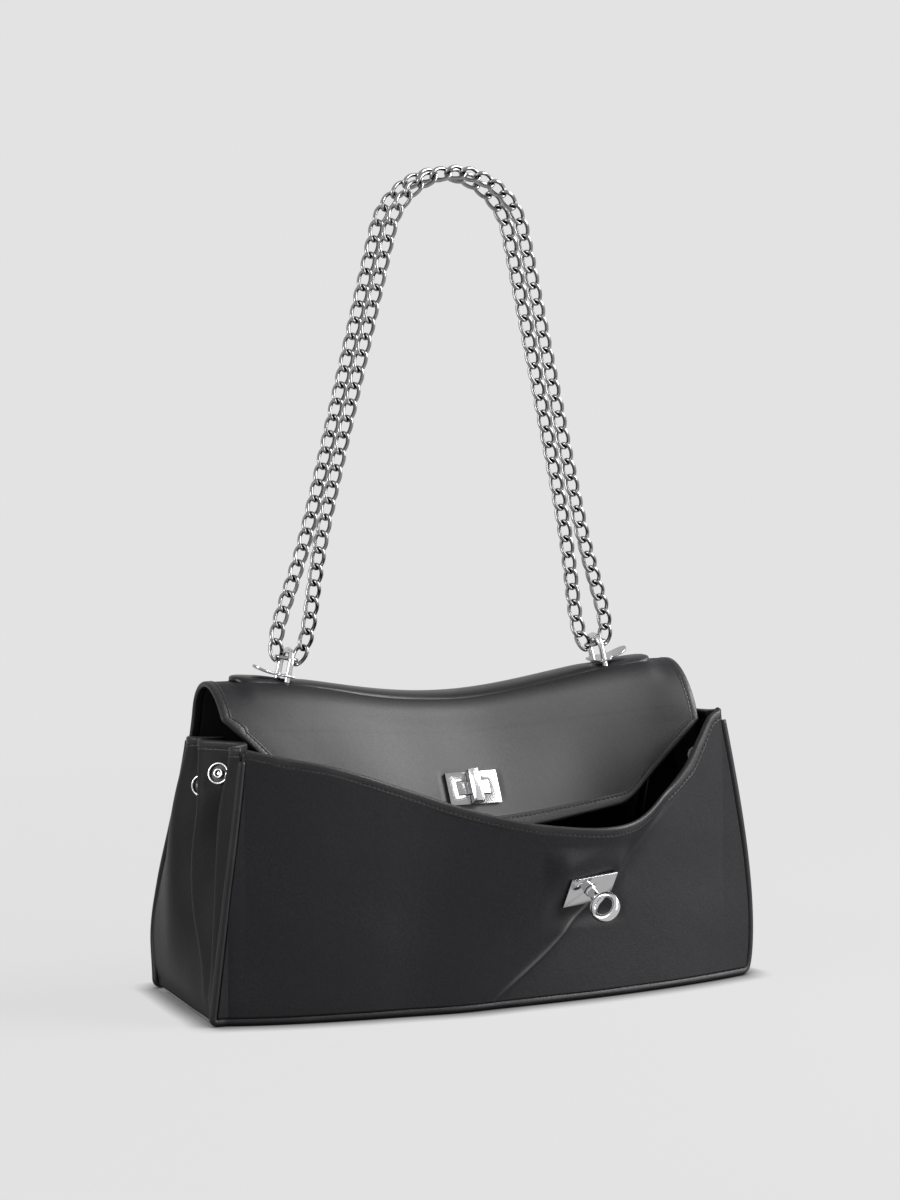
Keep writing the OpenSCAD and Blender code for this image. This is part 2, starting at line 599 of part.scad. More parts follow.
// Flap
fold_roll_r = binding_r;
flap_in = binding_d + seam_gap;
lining_start_share = 0.07;
corner_share = 0.94;
tip_share = 1 - flap_in / front_slant;
flap_rows = concat(steps(0, corner_share, 10), steps(1, 1 + tip_share, 8));
// Half width that lies a given distance, square to the edge, inside the flap's edge
function flap_within(s, inset, side) =
    let (low = max(0, s - slope_share), high = min(2, s + slope_share))
    let (a = flap(0, low), b = flap(0, high), drawn = flap_half(high, side) - flap_half(low, side))
    flap_half(s, side) - inset * norm([drawn, norm(b - a)]) / norm(b - a);
function flap_grid(rows) = [for (s = rows)
    [for (u = steps(-1, 1, flap_steps.x)) flap(u * flap_within(s, flap_in, u), s)]];
lock_share = 1.6144;
lock_seat = skin_out + skin_in;
lock_inner = lining_in + skin_in;
ridge_share = 0.52;
module lock_space() at(on_flap(0, lock_share)) children();
module lock_holes() {
    rod(spindle_d + seam_gap, -plate_h, plate_h);
    prongs(prong_d + seam_gap, -plate_h, plate_h);
}
// The staples lean towards each other, along the pull of the chain
staple_lean = 13;
leg_y = staple_gap / 2 + staple_r;
module staple_flat(side) at(on_flap(side * staple_span / 2, ridge_share)) children();
function staple_frame(side) = [on_flap(side * staple_span / 2, ridge_share)[0],
    [cos(staple_lean), 0, side * sin(staple_lean)], [0, 1, 0],
    [-side * sin(staple_lean), 0, cos(staple_lean)]];
module staple_space(side) at(staple_frame(side)) children();
module legs(d, from, to) for (y = [-leg_y, leg_y]) translate([0, y, 0]) rod(d, from, to);
module staple_holes(extra) for (side = [-1, 1]) staple_space(side)
    legs(staple_bar + extra, -staple_span / 4, staple_span / 4);
module flap_outer() color(leather_c) difference() {
    union() {
        sheet(flap_grid(flap_rows), skin_in, skin_out);
        translate([-flap_w / 2 + flap_in, fold_y, fold_h]) rotate([0, 90, 0])
            cylinder(r = fold_roll_r, h = flap_w - 2 * flap_in);
    }
    lock_space() {
        plate_seat(lock_seat, lock_seat + plate_h);
        lock_holes();
    }
    staple_holes(seam_gap);
}
module flap_lining() color(lining_c) difference() {
    sheet(flap_grid([for (s = flap_rows) max(s, lining_start_share)]), -lining_in, -skin_in);
    lock_space() {
        slab(back_plate_w + seam_gap, back_plate_h + seam_gap, -lock_inner - plate_h, -lock_inner);
        lock_holes();
    }
    staple_holes(seam_gap);
}
// The bead runs down the left side, along the lower edge and up the right side
bead_start_share = 0.08;
bead_low = 2 - binding_r / front_slant;
function flap_edge(s, side) = flap_within(s, binding_r, side);
function side_bead(side) = [for (s = concat(steps(bead_start_share, corner_share, 12),
    steps(1, 1 + tip_share, 6))) [side * flap_edge(s, side), s]];
function bead_half(side) = flap_edge(bead_low, side) - flap_in;
// Places [x, s] along the bead, the two lower corners rounded
function bead_corner(side) = let (p = [side * flap_edge(1 + tip_share, side), 1 + tip_share])
    bend(p, [side * flap_edge(bead_low, side), bead_low], [side * bead_half(side), bead_low]);
module flap_binding() color(edge_c) {
    places = concat(side_bead(-1), bead_corner(-1),
        [for (x = steps(-bead_half(-1), bead_half(1), 16)) [x, bead_low]],
        reverse(bead_corner(1)), reverse(side_bead(1)));
    tube([for (p = places) flap(p.x, p.y)], [for (p = places) on_flap(p.x, p.y)[3]], binding_r);
}

// Raised strip along the ridge, bent half as sharply as the ridge itself
strip_bend = strip_w * 1.6;
// How far round the strip's ends are drawn in before they are cut off
blunt_share = 0.97;
strip_low = skin_out + seam_gap;
strip_seat = strip_low + filler_t + skin_in + strip_t + skin_in;
function strip_half(x) = let (far = limit((abs(x) - (strip_l - strip_w) / 2) / (strip_w / 2)))
    strip_w / 2 * sqrt(1 - pow(far * blunt_share, 2));
function ridge_speed(x) =
    norm(flap(x, ridge_share + slope_share) - flap(x, ridge_share - slope_share)) / (2 * slope_share);
function strip_point(x, c, h) = let (f = on_flap(x, ridge_share), y = c * strip_half(x))
    f[0] - y * f[2] + (h - y * y / (2 * strip_bend)) * f[3];
function under_strip(x, c) = let (s = ridge_share + c * strip_half(x) / ridge_speed(x))
    on_flap(x, s)[0] + strip_low * on_flap(x, s)[3];
strip_cols = [for (a = steps(-90, 90, strip_steps.x)) sin(a) * strip_l / 2];
function strip_grid(h, in) = [for (c = steps(-1, 1, strip_steps.y))
    [for (x = strip_cols) strip_point(x * in, c * in, h)]];
filler_share = 0.94;
module strip_cover() color(edge_c) difference() {
    low = strip_low + filler_t + skin_in;
    between(strip_grid(low + strip_t, 1), strip_grid(low, 1));
    staple_holes(seam_gap);
}
module strip_filler() color(board_c) difference() {
    between(strip_grid(strip_low + filler_t, filler_share),
        [for (c = steps(-1, 1, strip_steps.y))
            [for (x = strip_cols) under_strip(x * filler_share, c * filler_share)]]);
    staple_holes(seam_gap);
}

// Staples with their tabs, plates and nuts
tab_t = 1.4;
tab_hub = staple_bar * 2;
tab_reach = 17;
tab_w = 11;
tab_lift = 0.5;
tab_seat = strip_seat + tab_lift;
staple_plate_w = staple_bar * 3;
staple_plate_h = 2 * leg_y + staple_bar * 1.5;
nut_d = 6;
nut_t = 2;
nut_gap = 0.5;
// The back plates lie across the hollow of the ridge, against its flanks: how far these fall
// below the ridge at the ends of a plate, read a little further out for the lining's thickness
function ridge_fall(reach) = let (x = staple_span / 2, f = on_flap(x, ridge_share), s = reach / ridge_speed(x))
    max([for (way = [-1, 1]) (f[0] - flap(x, ridge_share + way * s)) * f[3]]);
flank_share = 1.17;
staple_plate_from = -lock_inner - ridge_fall(flank_share * staple_plate_h / 2);
staple_nut_from = staple_plate_from - back_plate_t - nut_gap - nut_t;
staple_foot = staple_nut_from - skin_in;
staple_arch = tab_seat + tab_t + staple_h - staple_r - leg_y;
module staple(side) color(metal_c) staple_space(side) {
    legs(staple_bar, staple_foot, staple_arch);
    translate([0, 0, staple_arch]) rotate([90, 0, 90])
        rotate_extrude(angle = 180) translate([leg_y, 0]) circle(staple_r);
}
module left_staple() staple(-1);
module right_staple() staple(1);
module tab(side) color(metal_c) staple_space(side) difference() {
    translate([0, 0, tab_seat]) linear_extrude(tab_t) {
        square([tab_hub, staple_plate_h], center = true);
        translate([side > 0 ? 0 : tab_w / 2 - tab_reach, -tab_w / 2])
            square([tab_reach - tab_w / 2, tab_w]);
        translate([side * (tab_reach - tab_w / 2), 0]) circle(tab_w / 2);
    }
    legs(staple_bar + run_gap, tab_seat - cut, tab_seat + tab_t + cut);
}
module left_tab() tab(-1);
module right_tab() tab(1);
module staple_back_plates() color(metal_c) difference() {
    for (side = [-1, 1]) staple_flat(side)
        slab(staple_plate_w, staple_plate_h, staple_plate_from - back_plate_t, staple_plate_from);
    staple_holes(run_gap);
}
module staple_nuts() color(metal_c) difference() {
    for (side = [-1, 1]) staple_space(side) for (y = [-leg_y, leg_y])
        translate([0, y, staple_nut_from]) cylinder(d = nut_d, h = nut_t, $fn = 6);
    staple_holes(run_gap);
}

// Turn lock on the flap
base_gap = 0.4;
base_rise = 0.5;
base_top = lock_seat + plate_t + base_rise;
spindle_end_d = spindle_d * 0.7;
lock_washer_from = -lock_inner - back_plate_t - skin_in;
lock_ring_from = lock_washer_from - washer_t - skin_in;
module lock_face_plate() color(metal_c) lock_space() {
    difference() {
        slab(plate_w, plate_h, lock_seat, lock_seat + plate_t);
        slab(slot_w, slot_h, lock_seat - cut, lock_seat + plate_t + cut);
    }
    prongs(prong_d, -lock_inner - back_plate_t, lock_seat);
}
module lock_base() color(metal_c) lock_space() difference() {
    slab(slot_w - 2 * base_gap, slot_h - 2 * base_gap, lock_seat, base_top);
    rod(spindle_d + 2 * run_gap, lock_seat - cut, base_top + cut);
}
module lock_back_plate() color(metal_c) lock_space()
    back_plate(spindle_d + 2 * run_gap, -lock_inner);
module lock_washer() color(metal_c) lock_space()
    ring(spindle_d * 2, spindle_d + 2 * run_gap, lock_washer_from - washer_t, lock_washer_from);
module lock_ring() color(metal_c) lock_space()
    ring(spindle_d * 1.6, spindle_end_d + run_gap, lock_ring_from - 2 * washer_t, lock_ring_from);
module lock_knob() color(metal_c) lock_space() {
    rod(spindle_end_d, lock_ring_from - 2 * washer_t, lock_washer_from);
    rod(spindle_d, lock_ring_from + skin_in, base_top + skin_in + knob_h / 2);
    translate([0, 0, base_top + skin_in]) difference() {
        slab(knob_w, knob_l, 0, knob_h);
        for (x = [-1, 1]) translate([x * knob_w / 2, 0, knob_h]) rotate([0, 45, 0])
            cube([knob_w * 0.35, knob_l + cut, knob_w * 0.35], center = true);
    }
}

// Chain: an endless loop of links, laid twice from staple to staple
// The end links lie as high in the staples as their arches let them
link_across = (link_w - wire_d) / 2;
axis_h = staple_arch + sqrt(pow(leg_y - staple_r - wire_r - seam_gap, 2) - link_across * link_across);
function axis_point(side) = staple_frame(side)[0] + axis_h * staple_frame(side)[3];
left_axis = axis_point(-1);
right_axis = axis_point(1);
chain_y = (left_axis.y + right_axis.y) / 2;
// The common arch: straight up from the left staple, round the bend and straight down
bend_x = 3;
bend_at = [bend_x, chain_top - chain_bend];
left_from = [left_axis.x, left_axis.z];
right_from = [right_axis.x, right_axis.z];
left_leg = bend_at - left_from;
right_leg = bend_at - right_from;
left_dir = atan2(left_leg.y, left_leg.x) + asin(chain_bend / norm(left_leg));
right_dir = atan2(right_leg.y, right_leg.x) - asin(chain_bend / norm(right_leg));
left_run = sqrt(left_leg * left_leg - chain_bend * chain_bend);
right_run = sqrt(right_leg * right_leg - chain_bend * chain_bend);
bend_run = chain_bend * (left_dir - right_dir + 180) * PI / 180;
arch_run = left_run + bend_run + right_run;
function heading(a) = [cos(a), sin(a)];
function arch(m) = m < left_run ? left_from + m * heading(left_dir)
    : m < left_run + bend_run
    ? bend_at + chain_bend * heading(left_dir + 90 - (m - left_run) / chain_bend * 180 / PI)
    : right_from + (arch_run - m) * heading(right_dir);
// The strands hook over the two ends of the link in each staple, swell apart beside the
// staple's bar and join the arch
link_slack = 0.3;
hook = (link_pitch + link_slack) / 2 + wire_r;
merge_run = 70;
swell_run = 16;
swell_out = 3;
function strand(side, m) =
    let (near_left = m < arch_run / 2, far = near_left ? m : arch_run - m)
    let (joined = ease(far / merge_run))
    let (out = hook * (1 - joined) + swell_out * far / swell_run * exp(1 - far / swell_run))
    let (across = heading(near_left ? left_dir - 90 : right_dir - 90))
    let (p = arch(m) - side * out * across)
    [p.x, chain_y + side * strand_gap / 2 * joined, p.y];
samples = 160;
function sums(p) = [for (i = 0, l = 0; i < len(p); l = l + norm(pick(p, i + 1) - p[i]), i = i + 1) l];
function run_table(side) =
    let (lens = sums([for (m = steps(0, arch_run, samples)) strand(side, m)]))
    [for (i = [0:samples]) [lens[i], arch_run * i / samples]];
// An odd number of links, so that both end links hook alike
function link_count(run) = 2 * round(((run - wire_d) / link_pitch - 1) / 2) + 1;
twist_links = 5;
twist_turn = 45;
module link(inner_l) {
    straight = inner_l + 2 * wire_d - link_w;
    for (s = [-1, 1]) {
        translate([s * straight / 2, 0, 0]) rotate([0, 0, -s * 90])
            rotate_extrude(angle = 180) translate([link_across, 0]) circle(wire_r);
        translate([-straight / 2, s * link_across, 0]) rotate([0, 90, 0])
            cylinder(r = wire_r, h = straight);
    }
}
module chain_strand(side) color(metal_c) {
    table = run_table(side);
    run = table[samples][0];
    count = link_count(run);
    pitch = (run - wire_d) / count;
    places = [for (row = table) [row[0], row[1]]];
    for (i = [0:count - 1]) {
        mid = pitch / 2 - wire_r + i * (run - pitch + wire_d) / (count - 1);
        m = lookup(mid, places);
        ahead = unit(strand(side, m + wire_r) - strand(side, m - wire_r));
        edge = min(i, count - 1 - i);
        flat = unit(cross([0, 1, 0], ahead));
        turn = twist_turn * ease(edge / twist_links) + 90 * (i % 2);
        at([strand(side, m), ahead, flat, cross(ahead, flat)]) rotate([turn, 0, 0])
            link(pitch + link_slack);
    }
}
module chain_front_strand() chain_strand(-1);
module chain_rear_strand() chain_strand(1);
module end_link(side) color(metal_c)
    at([axis_point(side), staple_frame(side)[1], [0, 1, 0], staple_frame(side)[3]])
        link(link_pitch + link_slack);
module left_end_link() end_link(-1);
module right_end_link() end_link(1);

front_panel();
front_lining();
front_binding();
back_panel();
back_lining();
left_gusset();
right_gusset();
left_gusset_lining();
right_gusset_lining();
left_gusset_binding();
right_gusset_binding();
base_panel();
base_board();
base_lining();
front_piping();
back_piping();
left_snap_sockets();
right_snap_sockets();
left_snap_studs();
right_snap_studs();
snap_caps();
toggle_plate();
toggle_back_plate();
eye_toggle();
toggle_washer();
toggle_ring();
flap_outer();
flap_lining();
flap_binding();
strip_cover();
strip_filler();
left_staple();
right_staple();
left_tab();
right_tab();
staple_back_plates();
staple_nuts();
lock_face_plate();
lock_base();
lock_back_plate();
lock_knob();
lock_washer();
lock_ring();
chain_front_strand();
chain_rear_strand();
left_end_link();
right_end_link();
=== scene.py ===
"""Looks of a soft leather shoulder bag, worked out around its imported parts. Lengths in metres."""

import math

import bmesh
import bpy
import numpy as np
from bpy.props import FloatProperty, FloatVectorProperty, PointerProperty
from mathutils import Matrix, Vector


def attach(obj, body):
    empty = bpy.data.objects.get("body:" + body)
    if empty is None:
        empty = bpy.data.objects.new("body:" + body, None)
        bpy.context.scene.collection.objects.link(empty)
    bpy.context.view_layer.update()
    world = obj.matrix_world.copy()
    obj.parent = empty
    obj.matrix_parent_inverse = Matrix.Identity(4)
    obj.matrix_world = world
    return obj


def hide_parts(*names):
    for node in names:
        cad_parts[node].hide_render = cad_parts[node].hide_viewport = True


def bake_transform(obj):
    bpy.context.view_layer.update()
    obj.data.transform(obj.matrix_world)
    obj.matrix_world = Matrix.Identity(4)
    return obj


bl_info = {
    "name": "Chain Shoulder Bag",
    "version": (1, 0, 0),
    "blender": (4, 5, 0),
    "location": "3D View > Sidebar > Bag",
    "description": "Leather, edges, stitches and fittings of a chain shoulder bag",
    "category": "Add Mesh",
}

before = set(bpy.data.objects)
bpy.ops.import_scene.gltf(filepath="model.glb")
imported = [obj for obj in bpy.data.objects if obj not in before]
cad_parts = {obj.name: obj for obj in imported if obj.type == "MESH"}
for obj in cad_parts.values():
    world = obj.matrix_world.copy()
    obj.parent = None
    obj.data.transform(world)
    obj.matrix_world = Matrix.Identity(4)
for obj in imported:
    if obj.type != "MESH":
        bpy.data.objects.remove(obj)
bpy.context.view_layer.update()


# Properties that a user would change

def length(name, millimetres, description):
    """A length property, given in millimetres and kept in metres."""
    return FloatProperty(name=name, description=description, default=millimetres / 1000,
                         unit="LENGTH", precision=5)


def degrees(name, value, description):
    """An angle property, given in degrees."""
    return FloatProperty(name=name, description=description, default=math.radians(value),
                         subtype="ANGLE")


def share(name, value, description):
    """A plain number between 0 and 1, or a little past it."""
    return FloatProperty(name=name, description=description, default=value, min=0, soft_max=1)


def colour(name, value, description):
    """A colour property."""
    return FloatVectorProperty(name=name, description=description, default=value, size=3,
                               subtype="COLOR", min=0, max=1)


class BagBodySizes(bpy.types.PropertyGroup):
    """Sizes of the panels and gussets"""
    floor_w: length("Floor width", 300, "Width of the front panel along the floor")
    rim_w: length("Rim width", 268, "Width of the front panel along its top edge")
    back_w: length("Back width", 288, "Width of the back panel along the floor")
    fold_w: length("Fold width", 270, "Width of the back panel at the fold")
    left_h: length("Left height", 137, "Height of the front panel's left corner")
    right_h: length("Right height", 142.7, "Height of the front panel's right corner")
    low_h: length("Wave height", 90.6, "Height of the lowest place of the wave")
    corner_reach: length("Corner reach", 49, "Reach of the front corners along the floor")
    floor_bow: length("Floor bow", 22, "How far the front panel bows out along the floor")
    rim_reach: length("Rim reach", 52, "Reach of the front panel's top corners")
    rim_bow: length("Rim bow", 13, "How far the front panel bows out along its top")
    bow_x: length("Bow centre", 8, "Place across the bag where the floor bow is fullest")
    back_reach: length("Back reach", 56, "Reach of the back panel at its fullest")
    back_bow: length("Back bow", 4, "How far the middle of the back panel bows out")
    side_swell: length("Side swell", 7, "How far the right side of the front panel swells out")
    pleat_d: length("Pleat depth", 9, "Depth of the gussets' pleats")
    gusset_h: length("Gusset height", 132.5, "Height of the gussets' top edge at the back")
    leather_t: length("Leather", 1.3, "Thickness of the outer leather")
    lining_t: length("Lining", 0.8, "Thickness of the lining")
    seam_gap: length("Seam gap", 0.3, "Space between layers and beside seams")
    piping_d: length("Piping", 4, "Diameter of the piping")
    binding_d: length("Binding", 3, "Diameter of a bound edge")


class BagCreaseSizes(bpy.types.PropertyGroup):
    """The diagonal fold across the front panel"""
    x: length("Place across", 55, "A place on the fold, across the bag")
    z: length("Place up", 53.5, "The same place, above the floor")
    tilt: degrees("Tilt", 39, "Angle of the fold above the floor")
    curl: length("Curl", 27, "How much the fold curls up towards the right")
    slope: share("Slope", 1.05, "How steeply the leather above the fold leans out")
    run: length("Run", 26, "How far the leather leans out above the fold")
    soft: length("Softness", 5, "How softly the leather bends at the fold")
    crown_soft: length("Crown softness", 8, "How softly it bends back above")
    lean_from: length("Lean start", -60, "Where the lean begins, across the bag")
    lean_full: length("Lean full", 85, "Where the lean is full")
    lean_fade: length("Lean fade", 96, "Where the lean fades towards the right corner")


class BagFoldSizes(bpy.types.PropertyGroup):
    """The crisp line of the diagonal fold on the leather's face"""
    x: length("Line place", 24, "A place on the line, across the bag, where it sags")
    z: length("Line height", 32.6, "Height of the line there, without its sag")
    slope: share("Line slope", 0.858, "Rise of the line over its run")
    sag: length("Line sag", 2.2, "How far the line sags")
    sag_half: length("Sag half length", 16, "Half length of the sag")
    ridge: length("Ridge", 1.1, "Height of the pinched ridge on the line's lower stretch")
    ridge_half: length("Ridge half width", 1.8, "Half width of the ridge")
    dip: length("Dip", 0.8, "Depth of the dip above the line's upper stretch")
    dip_soft: length("Dip softness", 0.9, "Half width of the step from the dip back up")
    ridge_end: length("Ridge end", 44, "Where the ridge ends and the dip begins, across the bag")


class BagFlapSizes(bpy.types.PropertyGroup):
    """Sizes of the flap and of the strip on its ridge"""
    fold_h: length("Fold height", 140, "Height of the fold line")
    fold_y: length("Fold place", 19.5, "Distance of the fold line behind the middle")
    ridge_rise: length("Ridge rise", 22.7, "Height of the ridge's ends above the fold line")
    ridge_sag: length("Ridge sag", 14.4, "How far the ridge sags in the middle")
    sag_half: length("Sag half length", 128, "Half length over which the ridge sags")
    flap_w: length("Flap width", 268, "Width of the flap along the ridge")
    tip_w: length("Tip width", 172, "Width of the flap along its lower edge")
    tip_h: length("Tip height", 97, "Height of the flap's lower corners")
    tip_reach: length("Tip reach", 41, "Reach of the flap's lower edge")
    strip_w: length("Strip width", 19, "Width of the raised strip")
    strip_l: length("Strip length", 240, "Length of the raised strip")
    strip_t: length("Strip leather", 1.1, "Thickness of the strip's cover")
    filler_t: length("Strip filler", 1.2, "Thickness of the strip's filler")


class BagFittingSizes(bpy.types.PropertyGroup):
    """Sizes of the metal fittings"""
    plate_w: length("Plate width", 28.7, "Width of the plates")
    plate_h: length("Plate height", 17.5, "Height of the plates")
    toggle_h: length("Toggle height", 59, "Height of the eye toggle on the front panel")
    toggle_x: length("Toggle place", 43.5, "Distance of the eye toggle from the middle")
    toggle_t: length("Toggle plate", 1.2, "Thickness of the toggle's plate")
    toggle_tilt: degrees("Toggle tilt", 5, "Turn of the plate on the leather")
    eye_angle: degrees("Eye angle", 139, "Turn of the eye on its post")
    post_d: length("Post", 5.4, "Diameter of the toggle's post")
    eye_reach: length("Eye reach", 13.6, "Distance from the plate to the middle of the eye")
    eye_d: length("Eye", 16, "Outer diameter of the eye")
    eye_hole: length("Eye hole", 9, "Diameter of the hole in the eye")
    eye_t: length("Eye thickness", 5, "Thickness of the eye")
    snap_d: length("Snap", 10.9, "Outer diameter of a snap")
    snap_eye: length("Snap eye", 4.8, "Diameter of a snap's inner ring")
    snap_t: length("Snap height", 2, "Height of a snap above the leather")
    staple_span: length("Staple span", 184, "Distance between the two staples")
    staple_bar: length("Staple bar", 3.2, "Diameter of a staple's bar")
    staple_gap: length("Staple gap", 10.4, "Clear width inside a staple")
    staple_h: length("Staple height", 14, "Height of a staple above its tab")
    staple_lean: degrees("Staple lean", 13, "How far the staples lean towards each other")


class BagChainSizes(bpy.types.PropertyGroup):
    """Sizes of the chain"""
    wire_d: length("Wire", 2.1, "Diameter of the chain's wire")
    link_w: length("Link width", 8, "Outer width of a link")
    pitch: length("Pitch", 8.4, "Distance from link to link")
    slack: length("Slack", 0.3, "Play between two links")
    twist: length("Twist", 1.3, "How far a link's wire is twisted out of its plane")
    top: length("Top", 421, "Height of the chain's highest point")
    bend: length("Bend", 39, "Radius of the chain's bend at the top")
    bend_x: length("Bend place", 3, "Place of the bend across the bag")
    strand_gap: length("Strand gap", 17, "Distance between the two strands")


class BagStitchSizes(bpy.types.PropertyGroup):
    """Sizes of the seams' threads and of the folded edge bands"""
    pitch: length("Pitch", 2.5, "Distance from stitch to stitch")
    stitch_l: length("Stitch length", 1.7, "Length of a stitch that shows")
    thread_d: length("Thread", 0.6, "Diameter of the thread")
    inset: length("Inset", 4.05, "Distance of the stitches from the edge")
    band: length("Band", 4.9, "Depth of the folded edge band")
    slant: degrees("Slant", 20, "Angle between a stitch and the seam")


class BagFinish(bpy.types.PropertyGroup):
    """Colours and sheen of the materials"""
    leather: colour("Leather", (0.011, 0.011, 0.0125), "Colour of the smooth outer leather")
    # This paler colour goes on random wear and on painted light: a painted highlight along the front
    # fold and painted light on the flap
    wear_and_painted_light: colour("Worn leather", (0.032, 0.032, 0.032), "Colour of the leather where it is rubbed")
    edge: colour("Edge leather", (0.008, 0.008, 0.009), "Colour of the folded and painted edges")
    lining: colour("Lining", (0.009, 0.009, 0.0095), "Colour of the lining")
    thread: colour("Thread", (0.0025, 0.0025, 0.003), "Colour of the thread")
    metal: colour("Metal", (0.62, 0.62, 0.63), "Colour of the silver plated metal")
    # This dark colour goes on random tarnished spots and on painted shade, on the inner sides of the
    # chain's links
    tarnish_and_painted_shade: colour("Tarnish", (0.05, 0.049, 0.047), "Colour in the metal's recesses")
    leather_rough: share("Leather roughness", 0.48, "Roughness of the outer leather")
    grain: length("Grain", 0.9, "Size of the leather's grain")


class BagStage(bpy.types.PropertyGroup):
    """Camera, floor and lamps"""
    azimuth: degrees("Azimuth", -25.24, "Camera's angle around the bag")
    elevation: degrees("Elevation", 5.15, "Camera's angle above the floor")
    distance: length("Distance", 1619.26, "Distance from the camera to its target")
    focal: FloatProperty(name="Focal length", description="Camera's focal length in millimetres",
                         default=93.33, min=10)
    backdrop: FloatProperty(name="Backdrop", description="Brightness of the backdrop",
                            default=0.768, min=0, max=1)


# Shares that shape the surfaces: places and heights along the wave, the back panel's reach at even
# heights, and the gussets' fold lines and how far each stands out, from the floor to the top. The
# right gusset stands open at the top, so its two highest rows differ

WAVE_SHARES = np.array([(-1, 1), (-0.86, 0.9), (-0.66, 0.767), (-0.43, 0.54), (-0.2, 0.297),
                        (0.03, 0.108), (0.2, 0.03), (0.36, 0), (0.53, 0.045), (0.69, 0.195),
                        (0.81, 0.445), (0.88, 0.72), (0.935, 0.925), (1, 1)])
WAVE_LOW_SHARE = 0.36
BACK_REACH_SHARES = np.array([0.875, 1, 0.893, 0.69, 0.482, 0.348])
FOLD_PLACE_SHARES = np.array([
    (0, 0.50, 0.85, 0.90, 0.95, 0.975, 1),
    (0, 0.44, 0.79, 0.855, 0.94, 0.97, 1),
    (0, 0.39, 0.65, 0.73, 0.893, 0.95, 1),
    (0, 0.30, 0.56, 0.65, 0.835, 0.915, 1),
    (0, 0.20, 0.49, 0.60, 0.78, 0.88, 1),
    (0, 0.163, 0.347, 0.433, 0.745, 0.90, 1)])
LOW_OUT_SHARES = ((0, 0, 0, 0, 0, 0, 0),
                  (0, 0.5, -0.05, 0.2, -0.1, 0.05, 0),
                  (0, 0.85, -0.2, 0.6, -0.35, 0.2, 0),
                  (0, 0.95, -0.6, 0.85, -0.6, 0.35, 0))
FOLD_OUT_SHARES = {
    -1: LOW_OUT_SHARES + ((0, 0.85, -0.85, 0.85, -0.75, 0.4, 0), (0, 0.5, -0.9, 0.7, -0.9, 0.25, 0)),
    1: LOW_OUT_SHARES + ((0, 0.85, -0.85, 0.85, -0.1, 0.4, 0), (0, 0.5, -0.9, 0.7, 0.6, 0.45, 0))}
SOCKET_SHARES = ((0.25, 0.835), (0.585, 0.9))
STUD_SHARES = ((0.435, 0.835), (0.76, 0.905))
PRESS_SLOPES = (-0.19, 0.59)
PRESS_SOFT = 0.014
RIDGE_SHARE = 0.52
LOCK_SHARE = 1.6144
CORNER_SHARES = (0.02, 0.009)
PIPING_TOP_SHARE = 0.955
EDGE_CORNER_SHARE = 1.84
BINDING_FROM, BRIDGE_FROM, BRIDGE_TO = 0.93, 0.94, 0.1
BOW_POWER = 0.8
SWELL_POWER = 0.6
RIM_POWER = 3
CORNER_STARTS = (0.33, -0.28)
SIDES = ((-1, "left"), (1, "right"))

# Fixed lengths: how far the leather is tucked under the piping, how far the leather and the linings
# of the front panel and the flap end below a bound edge, how high the stitches lie, how softly the
# leather is pressed down round a plate, the run of the flap edge's corners, the thickness of the
# base board and of a tab, a tab's lift, and the depths of the toggle's post and the staples' legs.
# Then how far a gusset's top is crowned, how high the leather stands beside the strip and over
# what run it comes up, and how far the flap's front sinks away from its lock

TUCK = 0.0006
LEATHER_DROP = 0.0036
FRONT_LINING_DROP, FLAP_LINING_DROP = 0.003, 0.0031
STITCH_LIFT = 0.0015
PLATE_SOFT = 0.004
CORNER_RUN = 0.006
BOARD_T = 0.0018
TAB_T, TAB_LIFT = 0.0014, 0.0005
POST_DEPTH = 0.0035
LEG_DEPTH = 0.0135
GUSSET_CROWN = 0.0015
SHOULDER_RISE, SHOULDER_RUN = 0.0022, 0.009
SINK = 0.001

# Pieces that lie over the fold are put on no body; their placing is baked into their meshes

FOLD = "fold"

# The chain's turn on the left and on the right, the run over which its strands merge, their swell
# near the staples and how far it reaches, and the steps round a link and round its wire

CHAIN_TURNS = (-0.3, 0.4)
MERGE_RUN = 0.07
SWELL, SWELL_RUN = 0.003, 0.016
LINK_GRID, END_LINK_GRID = (26, 9), (48, 14)

# The stage. A lamp has a place, a size and a power

CAMERA_AIM = (0.00245, 0.00106, 0.20055)
LAMP_AIM = (0, 0, 0.1)
AMBIENT = 0.1
FLOOR_TONE = 0.6
FLOOR_GLOW = 0.9
FLOOR_REACH, FLOOR_LEVEL = 30.0, -0.0002
LAMPS = (("right softbox", (1.34, -0.87, 1.3), (0.9, 0.9), 45),
         ("far right softbox", (1.65, -0.3, 1.25), (0.9, 0.9), 20),
         ("low right fill", (1.45, -1.35, 0.35), (0.9, 0.7), 22),
         ("left fill", (-1.8, -0.3, 0.8), (0.8, 0.8), 18))


# Curves and surfaces as whole arrays

def mix(a, b, t):
    """Straight mix of a and b."""
    return a + (b - a) * t


def limit(t):
    """t kept between 0 and 1."""
    return np.clip(t, 0, 1)


def ease(t):
    """Smooth step from 0 to 1."""
    t = limit(t)
    return t * t * (3 - 2 * t)


def unit(v):
    """Vectors scaled to length 1."""
    return v / np.maximum(np.linalg.norm(v, axis=-1, keepdims=True), 1e-12)


def stack(*parts):
    """Arrays of x, y and z joined into points."""
    return np.stack(np.broadcast_arrays(*parts), axis=-1)


def spans(t, last):
    """The span out of last in which each t from 0 to 1 lies, and how far along it."""
    place = limit(np.asarray(t, float)) * last
    i = np.minimum(place.astype(int), last - 1)
    return i, place - i


def smooth(a, b, c, d, k):
    """Cubic from b to c, whose slope at each is half the step between its neighbours."""
    return b + k / 2 * ((c - a) + k * ((2 * a - 5 * b + 4 * c - d) + k * (3 * (b - c) + d - a)))


